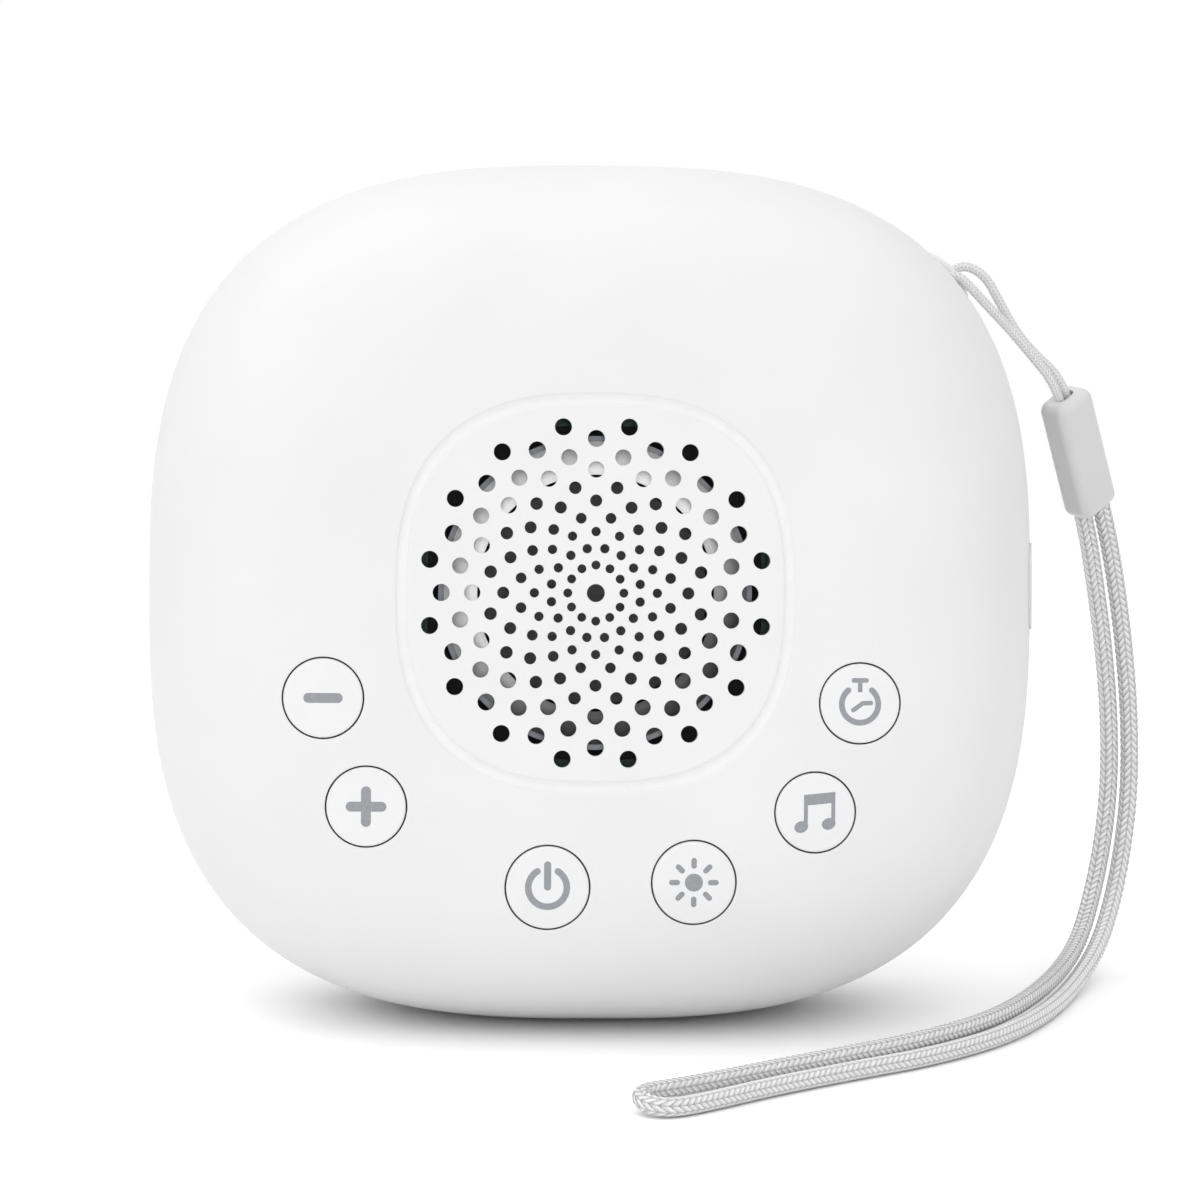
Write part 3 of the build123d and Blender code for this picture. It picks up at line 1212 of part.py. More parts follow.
def main():
    os.makedirs("parts", exist_ok=True)
    case_pieces = [
        front_shell, rear_shell, speaker_grille, night_light_ring, light_board, light_diodes,
        speaker_gasket, speaker_basket, speaker_terminals, speaker_surround, speaker_cone, dust_cap,
        voice_coil, speaker_spider, speaker_top_plate, speaker_magnet, speaker_yoke, speaker_retainer,
        main_board, tact_switches, switch_domes, board_chips, board_capacitors, board_inductor,
        board_connectors, battery_cell, battery_protection, battery_foam, battery_bracket,
        speaker_leads, usb_socket, usb_tongue, usb_cover, usb_cover_tether, case_screws]
    for piece in case_pieces:
        save(piece.__name__, piece())
    save("small_screws", all_small_screws())
    save("battery_lead_red", battery_lead(1, "battery_lead_red"))
    save("battery_lead_black", battery_lead(-1, "battery_lead_black"))
    for name in BUTTONS:
        save(f"{name}_cap", button_cap(name))
        save(f"{name}_icon", button_icon(name))
        save(f"{name}_plunger", switch_plunger(name))
    save("foot_pad", foot_pad(), leaning=False)
    save("strap_bead", strap_bead(), leaning=False)
    save("strap_thin_cord", tube("strap_thin_cord", THIN_POINTS, THIN_CORD), leaning=False)
    save("strap_loop_cord", tube("strap_loop_cord", LOOP_POINTS, LOOP_CORD), leaning=False)


main()
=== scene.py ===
"""White noise sound machine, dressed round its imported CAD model.

Sizes are in millimetres here and become metres where a mesh is made. The case is drawn in its own
frame, as in the part's source: X to the right, Y from the face to the back, Z up along the face,
origin in the middle of the widest section. The wrist strap is drawn in the part frame directly.
"""
import json
from math import cos, radians, sin, tau

import bpy
import numpy as np
from mathutils import Matrix, Vector


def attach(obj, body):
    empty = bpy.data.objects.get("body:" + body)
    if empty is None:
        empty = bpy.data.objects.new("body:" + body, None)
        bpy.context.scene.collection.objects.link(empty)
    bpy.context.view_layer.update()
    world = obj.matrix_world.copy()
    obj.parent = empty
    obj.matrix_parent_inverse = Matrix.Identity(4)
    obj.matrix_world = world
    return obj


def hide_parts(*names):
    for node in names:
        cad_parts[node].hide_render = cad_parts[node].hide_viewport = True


MM = 0.001
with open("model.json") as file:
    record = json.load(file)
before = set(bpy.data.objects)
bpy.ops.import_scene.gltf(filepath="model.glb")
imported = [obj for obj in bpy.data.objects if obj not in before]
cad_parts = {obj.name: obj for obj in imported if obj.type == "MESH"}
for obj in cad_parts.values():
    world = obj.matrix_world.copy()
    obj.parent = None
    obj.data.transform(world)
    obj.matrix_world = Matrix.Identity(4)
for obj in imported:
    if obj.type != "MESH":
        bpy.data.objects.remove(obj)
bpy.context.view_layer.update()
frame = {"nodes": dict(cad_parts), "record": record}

# ---------------------------------------------------------------- case, as in the part's source
FACE = -27.0                 # depth of the flat of the face
INNER_FACE = -25.0
FACE_EXPONENT = 2.6
GROOVE_OUTER = 22.0          # half the width of the opening in the face
GROOVE_INNER = 21.0          # half the width of the grille
RING_RIM_GAP = 0.05
RING_FLANGE_OUTER = 24.4
RING_FLANGE_INNER = 20.0
RING_FLANGE_BACK = -23.6
LEAN = 9.0                   # degrees that the case leans back
CENTRE_BACK = 1.4            # where the case's origin lies in the part frame
CENTRE_HEIGHT = 47.6

# ---------------------------------------------------------------- strap, as in the part's source
THIN_CORD = 1.15
LOOP_CORD = 2.25
THIN_POINTS = [
    (55.5, 15.7, 65.2), (54.2, 13.9, 69.7), (50.6, 13.3, 74.0), (48.1, 12.7, 76.9), (45.7, 12.3, 79.4),
    (43.8, 12.1, 81.5), (42.0, 12.2, 83.1), (40.1, 12.3, 81.8), (40.1, 15.4, 81.3), (41.7, 16.0, 82.8),
    (43.5, 16.1, 83.6), (45.8, 15.9, 82.3), (47.3, 15.6, 79.6), (49.1, 15.4, 76.3), (51.2, 15.3, 73.7),
    (55.0, 14.7, 70.3), (56.3, 16.5, 65.7),
]
LOOP_POINTS = [
    (59.0, 19.2, 58.7), (60.6, 21.3, 53.2), (62.1, 23.0, 46.2), (63.4, 24.5, 38.2), (64.3, 25.2, 29.6),
    (64.5, 25.1, 20.9), (63.7, 23.6, 13.6), (62.3, 20.8, 7.7), (60.2, 14.9, 3.5), (56.5, 4.8, 1.15),
    (52.1, -9.8, 1.15), (46.2, -22.0, 1.15), (37.3, -32.6, 1.15), (27.9, -39.9, 1.15), (18.8, -47.7, 1.15),
    (11.3, -55.4, 1.15), (7.2, -58.5, 1.15), (4.6, -57.2, 1.5), (4.4, -54.4, 2.0), (8.9, -51.7, 2.0),
    (16.9, -45.7, 2.2), (26.6, -38.3, 2.4), (35.8, -31.1, 2.5), (44.6, -20.9, 2.6), (50.4, -9.2, 2.8),
    (55.1, 5.3, 3.0), (58.0, 15.1, 4.5), (59.9, 21.0, 8.3), (61.3, 23.8, 14.0), (62.1, 25.1, 21.1),
    (61.9, 25.0, 29.4), (61.0, 24.1, 37.8), (59.7, 22.4, 45.6), (58.4, 20.7, 52.5), (56.9, 18.6, 57.8),
]

# ---------------------------------------------------------------- camera
LENS = 237.0
SENSOR = 36.0
CAMERA_DISTANCE = 900.0
CAMERA_ELEVATION = 9.3       # degrees, as the next two
CAMERA_AZIMUTH = -1.72
CAMERA_ROLL = 0.5
AIM_RIGHT = 1.253            # the case's middle is left of and above that of the picture
AIM_DOWN = 0.911
CLIP_NEAR = 50.0
CLIP_FAR = 50000.0


# ---------------------------------------------------------------- helpers for objects
def in_case(across, depth, up):
    """A point of the case frame in the part frame, both in millimetres."""
    lean = radians(LEAN)
    return (across, CENTRE_BACK + depth * cos(lean) + up * sin(lean),
            CENTRE_HEIGHT - depth * sin(lean) + up * cos(lean))


def add_mesh(name, points, faces):
    """A smooth-shaded mesh object from points in millimetres of the part frame."""
    mesh = bpy.data.meshes.new(name)
    mesh.from_pydata((np.asarray(points) * MM).tolist(), [], faces)
    mesh.validate()
    mesh.polygons.foreach_set("use_smooth", [True] * len(mesh.polygons))
    mesh.update()
    piece = bpy.data.objects.new(name, mesh)
    bpy.context.scene.collection.objects.link(piece)
    return piece


# ---------------------------------------------------------------- helpers for materials
def linear(value):
    """A screen value from 0 to 255 as light."""
    share = value / 255
    return share / 12.92 if share <= 0.04045 else ((share + 0.055) / 1.055) ** 2.4


def colour(red, green=None, blue=None):
    """A screen colour, or a grey from one value, as the four numbers of a shader's colour."""
    if green is None:
        green = blue = red
    return (linear(red), linear(green), linear(blue), 1.0)


class Finish:
    """A material with one Principled shader, and short ways to add detail to it."""

    def __init__(self, name, base, roughness, **inputs):
        self.material = bpy.data.materials.new(name)
        self.material.use_nodes = True
        self.tree = self.material.node_tree
        self.shader = self.tree.nodes["Principled BSDF"]
        self.base = base
        self.painted = None
        self.height = None
        self.shader.inputs["Base Color"].default_value = base
        self.shader.inputs["Roughness"].default_value = roughness
        for key, value in inputs.items():
            self.shader.inputs[key.replace("_", " ")].default_value = value

    def node(self, kind, **values):
        made = self.tree.nodes.new(kind)
        for key, value in values.items():
            setattr(made, key, value)
        return made

    def link(self, start, end):
        self.tree.links.new(start, end)

    def place(self):
        """Places on the piece, in metres."""
        return self.node("ShaderNodeTexCoord").outputs["Object"]

    def noise(self, scale, detail=2.0, stretch=None):
        noise = self.node("ShaderNodeTexNoise")
        noise.inputs["Scale"].default_value = scale
        noise.inputs["Detail"].default_value = detail
        source = self.place()
        if stretch:
            mapping = self.node("ShaderNodeMapping")
            mapping.inputs["Scale"].default_value = stretch
            self.link(source, mapping.inputs["Vector"])
            source = mapping.outputs["Vector"]
        self.link(source, noise.inputs["Vector"])
        return noise.outputs["Fac"]

    def mottle(self, scale, other, low=0.3, high=0.7):
        """Soft patches of another colour."""
        return self.paint(self.spread(self.noise(scale), low, high), other)

    def wave(self, scale, direction, distortion=0.0):
        wave = self.node("ShaderNodeTexWave", bands_direction=direction)
        wave.inputs["Scale"].default_value = scale
        wave.inputs["Distortion"].default_value = distortion
        self.link(self.place(), wave.inputs["Vector"])
        return wave.outputs["Fac"]

    def cells(self, scale, feature="F1"):
        cells = self.node("ShaderNodeTexVoronoi", feature=feature)
        cells.inputs["Scale"].default_value = scale
        self.link(self.place(), cells.inputs["Vector"])
        return cells.outputs["Distance"]

    def towards(self, direction, low, high):
        """0 to 1 between two places along a direction of the part frame, both in millimetres."""
        along = self.node("ShaderNodeVectorMath", operation="DOT_PRODUCT")
        along.inputs[1].default_value = Vector(direction).normalized()
        self.link(self.place(), along.inputs[0])
        return self.spread(along.outputs["Value"], low * MM, high * MM)

    def facing(self, direction, low, high):
        """0 to 1 as the surface turns to face a direction of the part frame."""
        turned = self.node("ShaderNodeVectorMath", operation="DOT_PRODUCT")
        turned.inputs[1].default_value = Vector(direction).normalized()
        self.link(self.node("ShaderNodeTexCoord").outputs["Normal"], turned.inputs[0])
        return self.spread(turned.outputs["Value"], low, high)

    def attribute(self, name):
        return self.node("ShaderNodeAttribute", attribute_name=name).outputs["Fac"]

    def spread(self, value, low, high):
        """value, from low to high, stretched to 0 to 1."""
        spread = self.node("ShaderNodeMapRange")
        spread.inputs["From Min"].default_value = low
        spread.inputs["From Max"].default_value = high
        self.link(value, spread.inputs["Value"])
        return spread.outputs["Result"]

    def paint(self, value, other):
        """Towards another colour as value goes from 0 to 1, over what is painted already."""
        mix = self.node("ShaderNodeMix", data_type="RGBA")
        start, end = [socket for socket in mix.inputs if socket.type == "RGBA"]
        start.default_value = self.base
        end.default_value = other
        if self.painted:
            self.link(self.painted, start)
        self.link(value, mix.inputs["Factor"])
        self.painted = [socket for socket in mix.outputs if socket.type == "RGBA"][0]
        self.link(self.painted, self.shader.inputs["Base Color"])
        return self

    def bump(self, value, height, strength=1.0):
        """Relief of that height in millimetres."""
        bump = self.node("ShaderNodeBump")
        bump.inputs["Strength"].default_value = strength
        bump.inputs["Distance"].default_value = height * MM
        self.link(value, bump.inputs["Height"])
        if self.height:
            self.link(self.height, bump.inputs["Normal"])
        self.height = bump.outputs["Normal"]
        self.link(self.height, self.shader.inputs["Normal"])
        return self

    def rough(self, value, low, high):
        """Roughness from low to high as value goes from 0 to 1."""
        spread = self.node("ShaderNodeMapRange")
        spread.inputs["To Min"].default_value = low
        spread.inputs["To Max"].default_value = high
        self.link(value, spread.inputs["Value"])
        self.link(spread.outputs["Result"], self.shader.inputs["Roughness"])
        return self


# ---------------------------------------------------------------- materials
SHADE_TOWARDS = (0.45, 0.0, -0.9)     # the card behind the holes lies in shade this way,
SHADE_SPAN = (-50.0, -36.0)           # from none to full between these places
BEAD_SHADE_SIDE = (-1, 0, 0)                # painted shade on the bead's side next to the case,
BEAD_SHADE_TURN = (0.35, 0.95)         # from none to full as it turns to face this way


def shell_finish():
    """White moulded ABS with a fine blasted texture."""
    finish = Finish("shell", colour(240, 240, 241), 0.44)
    finish.bump(finish.noise(2600, 3.0), 0.02, 0.5)
    finish.mottle(60, colour(237, 237, 238))
    return finish


def grille_finish():
    finish = Finish("grille", colour(241, 241, 241), 0.42)
    finish.bump(finish.noise(3000, 2.0), 0.012, 0.5)
    finish.mottle(90, colour(238, 238, 238))
    return finish


def cap_finish():
    """The caps are the shell's plastic, moulded smoother."""
    finish = Finish("cap", colour(242, 242, 243), 0.4)
    finish.bump(finish.noise(3400, 2.0), 0.008, 0.5)
    finish.mottle(300, colour(240, 240, 241))
    return finish


def diffuser_finish():
    """Milky ring, moulded as smooth as the face round it."""
    finish = Finish("diffuser", colour(246, 246, 247), 0.36)
    finish.mottle(800, colour(243, 243, 244))
    return finish


def icon_finish():
    finish = Finish("icon", colour(150, 152, 157), 0.5)
    finish.mottle(2600, colour(158, 160, 164), 0.35, 0.65)
    finish.bump(finish.noise(4000), 0.004, 0.5)
    return finish


def silicone_finish():
    finish = Finish("silicone", colour(232, 233, 234), 0.58, Sheen_Weight=0.12)
    finish.bump(finish.noise(2200), 0.01, 0.6)
    finish.mottle(400, colour(226, 227, 228))
    return finish


def foot_finish():
    finish = Finish("foot", colour(120, 121, 123), 0.75)
    finish.bump(finish.cells(1500), 0.05, 0.6)
    finish.paint(finish.noise(500), colour(104, 105, 107))
    return finish


def circuit_board_finish():
    """Green solder mask with raised tracks."""
    finish = Finish("circuit_board", colour(28, 88, 56), 0.32)
    tracks = finish.spread(finish.cells(420, "DISTANCE_TO_EDGE"), 0.04, 0.09)
    finish.paint(tracks, colour(20, 70, 44))
    finish.bump(tracks, 0.03, 0.7)
    return finish


def component_finish():
    finish = Finish("component", colour(34, 34, 36), 0.5)
    finish.paint(finish.noise(3000, 4.0), colour(52, 52, 54))
    finish.bump(finish.noise(3500), 0.01, 0.6)
    return finish


def capacitor_finish():
    finish = Finish("capacitor", colour(186, 188, 190), 0.3, Metallic=1.0)
    finish.rough(finish.noise(900, 3.0, (1, 1, 8)), 0.22, 0.42)
    finish.paint(finish.noise(1200), colour(168, 170, 172))
    return finish


def connector_finish():
    finish = Finish("connector", colour(226, 222, 208), 0.48)
    finish.paint(finish.noise(700), colour(214, 209, 194))
    finish.bump(finish.noise(2600), 0.01, 0.5)
    return finish


def light_diode_finish():
    finish = Finish("light_diode", colour(244, 226, 150), 0.35)
    finish.paint(finish.spread(finish.cells(900), 0.3, 0.8), colour(240, 238, 226))
    return finish


def white_card_finish():
    """Pressed card with its fibres, white above and in shade below and to the right."""
    finish = Finish("white_card", colour(255), 0.8)
    finish.bump(finish.noise(1800, 5.0, (1, 1, 3)), 0.03, 0.6)
    finish.paint(finish.spread(finish.noise(900, 4.0), 0.4, 0.8), colour(246))
    finish.paint(finish.towards(SHADE_TOWARDS, *SHADE_SPAN), colour(96))
    return finish


def frame_steel_finish():
    finish = Finish("frame_steel", colour(150, 152, 156), 0.34, Metallic=1.0)
    finish.rough(finish.noise(700, 3.0), 0.26, 0.44)
    finish.paint(finish.noise(260, 3.0), colour(128, 130, 134))
    return finish


def black_rubber_finish():
    finish = Finish("black_rubber", colour(30, 30, 31), 0.62)
    finish.bump(finish.noise(2400), 0.01, 0.6)
    finish.paint(finish.noise(500), colour(40, 40, 41))
    return finish


def paper_cone_finish():
    """Grey pulp with fibres, which looks dark behind the panel."""
    finish = Finish("paper_cone", colour(142, 142, 144), 0.78)
    finish.bump(finish.noise(2000, 6.0), 0.05, 0.7)
    finish.paint(finish.noise(1400, 5.0), colour(160, 160, 162))
    return finish


def coil_copper_finish():
    finish = Finish("coil_copper", colour(196, 112, 62), 0.3, Metallic=1.0)
    finish.bump(finish.wave(900, "Y"), 0.06, 0.8)
    finish.paint(finish.noise(1500), colour(168, 90, 48))
    return finish


def spider_cloth_finish():
    finish = Finish("spider_cloth", colour(184, 150, 84), 0.85, Sheen_Weight=0.3)
    finish.bump(finish.wave(800, "X", 1.0), 0.06, 0.7)
    finish.bump(finish.wave(800, "Z", 1.0), 0.06, 0.7)
    finish.paint(finish.noise(1200), colour(160, 126, 66))
    return finish


def ferrite_finish():
    finish = Finish("ferrite", colour(52, 53, 56), 0.56)
    finish.bump(finish.noise(1500, 4.0), 0.03, 0.6)
    finish.paint(finish.noise(600, 4.0), colour(70, 71, 74))
    return finish


def clamp_plastic_finish():
    finish = Finish("clamp_plastic", colour(54, 55, 58), 0.52)
    finish.bump(finish.noise(2000), 0.015, 0.6)
    finish.paint(finish.noise(300), colour(62, 63, 66))
    return finish


def pouch_finish():
    """Laminated foil with soft creases."""
    finish = Finish("pouch", colour(176, 182, 190), 0.26, Metallic=0.85)
    finish.bump(finish.noise(120, 3.0), 0.25, 0.5)
    finish.rough(finish.noise(400, 3.0), 0.2, 0.4)
    finish.paint(finish.noise(200), colour(160, 166, 175))
    return finish


def foam_finish():
    finish = Finish("foam", colour(58, 58, 60), 0.95)
    finish.bump(finish.cells(1300), 0.15, 0.8)
    finish.paint(finish.cells(1300), colour(40, 40, 42))
    return finish


def lead_finish(name, base, other):
    finish = Finish(name, base, 0.42)
    finish.paint(finish.noise(600), other)
    finish.bump(finish.noise(1500), 0.01, 0.5)
    return finish


def screw_steel_finish():
    finish = Finish("screw_steel", colour(168, 168, 170), 0.3, Metallic=1.0)
    finish.rough(finish.noise(1800, 3.0), 0.2, 0.42)
    finish.paint(finish.noise(900), colour(146, 146, 150))
    return finish


def socket_steel_finish():
    finish = Finish("socket_steel", colour(190, 191, 194), 0.24, Metallic=1.0)
    finish.rough(finish.noise(900, 2.0, (6, 1, 1)), 0.16, 0.36)
    finish.paint(finish.noise(500), colour(170, 171, 175))
    return finish


def bead_finish():
    """Satin moulded vinyl, a little greyer than the case, with painted shade on the side next to it."""
    finish = Finish("bead", colour(222), 0.3)
    finish.bump(finish.noise(1600, 3.0), 0.012, 0.4)
    finish.mottle(120, colour(217))
    # painted shade on the side that faces the case
    finish.paint(finish.facing(BEAD_SHADE_SIDE, *BEAD_SHADE_TURN), colour(186))
    return finish


def braid_finish():
    """Glossy white yarn, with a painted highlight on the crown of each stitch and painted shade where it
    dips under.
    """
    finish = Finish("braid", colour(214), 0.26, Coat_Weight=0.3, Coat_Roughness=0.2)
    # painted highlight on the crown of each stitch, of random strength
    finish.paint(finish.attribute("crown_highlight"), colour(255))
    # painted shade where a stitch dips under and between its columns
    finish.paint(finish.attribute("gap_shade"), colour(20))
    finish.bump(finish.noise(9000, 2.0), 0.015, 0.5)
    return finish


FINISHES = {
    "shell": shell_finish, "grille": grille_finish, "diffuser": diffuser_finish, "icon": icon_finish,
    "silicone": silicone_finish, "foot": foot_finish, "circuit_board": circuit_board_finish,
    "component": component_finish, "capacitor": capacitor_finish, "connector": connector_finish,
    "light_diode": light_diode_finish, "white_card": white_card_finish,
    "frame_steel": frame_steel_finish, "black_rubber": black_rubber_finish,
    "paper_cone": paper_cone_finish, "coil_copper": coil_copper_finish,
    "spider_cloth": spider_cloth_finish, "ferrite": ferrite_finish,
    "clamp_plastic": clamp_plastic_finish, "pouch": pouch_finish, "foam": foam_finish,
    "lead_red": lambda: lead_finish("lead_red", colour(176, 34, 30), colour(160, 26, 24)),
    "lead_black": lambda: lead_finish("lead_black", colour(34, 34, 36), colour(44, 44, 46)),
    "screw_steel": screw_steel_finish, "socket_steel": socket_steel_finish, "bead": bead_finish,
    "braid": braid_finish,
}
finishes = {slot: make().material for slot, make in FINISHES.items()}
cap_material = cap_finish().material


def dress_nodes():
    """Every CAD node takes the finish of its slot, and the buttons' caps a smoother one."""
    for part in frame["record"]["subparts"]:
        node = frame["nodes"][part["node"]]
        finish = finishes[part["material_slot"]]
        if part["node"].endswith("_cap") and part["node"] != "dust_cap":
            finish = cap_material
        node.data.materials.clear()
        node.data.materials.append(finish)


# ---------------------------------------------------------------- braided cords
LINE_ORDER = 3
LINE_DETAIL = 48             # points read between two of a cord's points
STITCH_RISE = 0.26           # share of a stitch's length in which it comes up
STITCH_SINK = 0.6            # share of its height that it loses towards its end
SIDE_DROP = 0.4              # share of its height that it loses at its sides
SIDE_POWER = 5.0             # how close to the sides that happens
CROWN_PLACE = 0.36           # place and width of the painted highlight, as shares of a stitch's length
CROWN_WIDTH = 0.27
CROWN_LEAST = 0.7            # the dullest painted highlight against the brightest
SIDE_GAP_SHADE = 0.35              # how dark the painted shade in the line between two columns is beside that under a stitch
THIN_BRAID = {"columns": 8, "pitch": 0.44, "slant": 1.2, "depth": 0.05, "shade_contrast": 0.4,
              "around": 40, "step": 0.06}
LOOP_BRAID = {"columns": 8, "pitch": 0.84, "slant": 1.1, "depth": 0.24, "shade_contrast": 1.0,
              "around": 64, "step": 0.08}


def cord_line(name, points):
    """The cord's smooth centreline, read from a NURBS spline with those points, in millimetres."""
    curve = bpy.data.curves.new(name + "_line", "CURVE")
    curve.dimensions = "3D"
    curve.resolution_u = LINE_DETAIL
    spline = curve.splines.new("NURBS")
    spline.points.add(len(points) - 1)
    for place, point in zip(spline.points, points):
        place.co = (*(Vector(point) * MM), 1.0)
    spline.order_u = LINE_ORDER
    spline.use_endpoint_u = True
    holder = bpy.data.objects.new(name + "_line", curve)
    read = bpy.data.meshes.new_from_object(holder)
    line = np.array([vertex.co for vertex in read.vertices]) / MM
    bpy.data.objects.remove(holder)
    return line


def even_steps(line, step):
    """Points at equal steps along a line."""
    runs = np.linalg.norm(np.diff(line, axis=0), axis=1)
    along = np.concatenate([[0], np.cumsum(runs)])
    count = int(round(along[-1] / step)) + 1
    places = np.linspace(0, along[-1], count)
    return np.column_stack([np.interp(places, along, line[:, axis]) for axis in range(3)]), places


def frames_along(line):
    """Two directions across the line at each point, which turn no more than the line does."""
    ahead = np.gradient(line, axis=0)
    ahead /= np.linalg.norm(ahead, axis=1)[:, None]
    first = np.cross(ahead[0], (0, 0, 1))
    side = first / np.linalg.norm(first)
    sides = []
    for direction in ahead:
        side = side - direction * side.dot(direction)
        side = side / np.linalg.norm(side)
        sides.append(side)
    sides = np.array(sides)
    return sides, np.cross(ahead, sides)


def scattered(first, second):
    """A number from 0 to 1 for each pair of whole numbers, without order and the same each run."""
    value = np.sin(127.1 * first + 311.7 * second) * 43758.5
    return value - np.floor(value)


def braid_relief(turn, along, columns, pitch, slant):
    """Stitches in columns that slant to and fro: height, painted highlight and painted shade, each from 0
    to 1.

    A stitch rises steeply where it comes out from under its neighbour, reaches its top there, and
    sinks slowly to where the next one covers it.
    """
    column = turn / tau * columns
    number = np.floor(column)
    across = (column - number) * 2 - 1
    lean = np.where(number % 2 == 0, 1.0, -1.0)
    stitch = along / pitch + lean * slant * across / 2
    passed = stitch - np.floor(stitch)
    rise = np.clip(passed / STITCH_RISE, 0, 1) ** 0.5
    side = np.sqrt(np.clip(1 - np.abs(across) ** SIDE_POWER, 0, 1))
    height = rise * (1 - STITCH_SINK * passed) * (1 - SIDE_DROP * (1 - side))
    tone = CROWN_LEAST + (1 - CROWN_LEAST) * scattered(number, np.floor(stitch))
    # painted highlight near the top of each stitch, of random strength from stitch to stitch
    crown_highlight = np.exp(-((passed - CROWN_PLACE) / CROWN_WIDTH) ** 2) * side * tone
    # painted shade where a stitch dips under its neighbour and along the lines between columns
    gap_shade = np.maximum(1 - rise, SIDE_GAP_SHADE * (1 - side))
    return height, crown_highlight, gap_shade


def braided_cord(name, points, diameter, columns, pitch, slant, depth, shade_contrast, around, step):
    """A round braid along the cord's line, with real stitches; also the points of its centreline.

    pitch is the length of a stitch, slant how many stitches one side of a column is ahead of the
    other, depth how deep the stitches are cut and contrast how dark the painted shade in the gaps
    between them is.
    around is the number of points round the cord and step their distance along it.
    """
    line = cord_line(name, points)
    centres, along = even_steps(line, step)
    sides, tops = frames_along(centres)
    turns = np.arange(around) * tau / around
    turn, run = np.meshgrid(turns, along)
    height, crown_highlight, gap_shade = braid_relief(turn, run, columns, pitch, slant)
    reach = diameter / 2 - depth * (1 - height)
    offsets = (np.cos(turn)[..., None] * sides[:, None] + np.sin(turn)[..., None] * tops[:, None])
    points_out = (centres[:, None] + offsets * reach[..., None]).reshape(-1, 3)
    rings = len(centres)
    faces = []
    for ring in range(rings - 1):
        low = ring * around
        for place in range(around):
            beside = (place + 1) % around
            faces.append((low + place, low + beside, low + around + beside, low + around + place))
    faces.append(tuple(reversed(range(around))))
    faces.append(tuple(range((rings - 1) * around, rings * around)))
    piece = add_mesh(name, points_out, faces)
    for label, values in (("crown_highlight", crown_highlight), ("gap_shade", gap_shade * shade_contrast)):
        layer = piece.data.attributes.new(label, "FLOAT", "POINT")
        layer.data.foreach_set("value", values.astype(np.float32).ravel())
    piece.data.materials.append(finishes["braid"])
    return piece, centres


def strap():
    """Thin cord through the lug, bead, and the braided wrist loop."""
    thin, thin_line = braided_cord("thin_cord_braid", THIN_POINTS, THIN_CORD, **THIN_BRAID)
    loop, loop_line = braided_cord("wrist_loop_braid", LOOP_POINTS, LOOP_CORD, **LOOP_BRAID)
    for piece, node in ((thin, "strap_thin_cord"), (loop, "strap_loop_cord")):
        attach(piece, "case")
        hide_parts(node)


# ---------------------------------------------------------------- ring in the groove
TROUGH_OUTER = 22.02         # half the width between the places where the channel meets the rounded lips
TROUGH_INNER = 20.96
TROUGH_LIP = 0.2             # depth there, below the face
TROUGH_DEPTH = 0.34          # depth of the channel below its lips
TROUGH_OVERLAP = 0.02        # share of its width that runs on under each lip
TROUGH_ROWS = 19
NECK_REACH = 0.06            # how far the ring reaches on behind each lip
NECK_DEPTH = 0.2
STEM_DEPTH = 0.6             # from here on it fills the space between face and grille
RING_STEPS = 360


def rounded_square(half, count):
    """Points of a rounded square, across and up."""
    turns = np.arange(count) * tau / count
    flat = np.column_stack([np.cos(turns), np.sin(turns)])
    reach = (np.abs(flat) ** FACE_EXPONENT).sum(axis=1) ** (-1 / FACE_EXPONENT)
    return flat * (reach * half)[:, None]


def groove_ring():
    """The diffuser as one soft channel between the face and the grille, with its flange behind."""
    outer = rounded_square(TROUGH_OUTER, RING_STEPS)
    inner = rounded_square(TROUGH_INNER, RING_STEPS)
    rows = []
    for share in np.linspace(-TROUGH_OVERLAP, 1 + TROUGH_OVERLAP, TROUGH_ROWS):
        dip = TROUGH_LIP + TROUGH_DEPTH * (1 - (2 * share - 1) ** 2)
        rows.append((outer + (inner - outer) * share, FACE + dip))
    stem_inner = GROOVE_INNER + RING_RIM_GAP
    stem_outer = GROOVE_OUTER - RING_RIM_GAP
    for half, depth in ((TROUGH_INNER - NECK_REACH, FACE + NECK_DEPTH), (stem_inner, FACE + STEM_DEPTH),
                        (stem_inner, INNER_FACE), (RING_FLANGE_INNER, INNER_FACE),
                        (RING_FLANGE_INNER, RING_FLANGE_BACK), (RING_FLANGE_OUTER, RING_FLANGE_BACK),
                        (RING_FLANGE_OUTER, INNER_FACE), (stem_outer, INNER_FACE),
                        (stem_outer, FACE + STEM_DEPTH), (TROUGH_OUTER + NECK_REACH, FACE + NECK_DEPTH)):
        rows.append((rounded_square(half, RING_STEPS), depth))
    points = [in_case(across, depth, up) for flat, depth in rows for across, up in flat]
    faces = []
    for row in range(len(rows)):
        low = row * RING_STEPS
        high = (row + 1) % len(rows) * RING_STEPS
        for place in range(RING_STEPS):
            beside = (place + 1) % RING_STEPS
            faces.append((low + place, high + place, high + beside, low + beside))
    piece = add_mesh("groove_ring", points, faces)
    piece.data.materials.append(finishes["diffuser"])
    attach(piece, "case")
    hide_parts("night_light_ring")


# ---------------------------------------------------------------- stage
FLOOR_RADIUS = 2500.0
FLOOR_SIDES = 96
FADE_NEAR = 160.0            # the floor's shadow fades to white between these distances
FADE_FAR = 420.0
FLOOR_SHOWN = 1.18           # how pale the floor is where it is seen, so that it is white in the light,
FLOOR_BOUNCE = 0.92          # and how pale in the light that it throws back
DOME = (                     # soft light from each direction, fading to nothing at right angles
    ((0, 0, 1), 1.18),
    ((0, -1, 0), 1.185),
    ((-1, 0, 0), 0.4),
    ((-0.3, 0.95, 0.1), 0.26),
)
RIM_LIGHTS = (               # place in millimetres and power in watts
    ("left_rim", (-500, 200, 900), 0.9),
    ("right_rim", (500, 200, 900), 0.3),
)
RIM_SIZE = 500.0


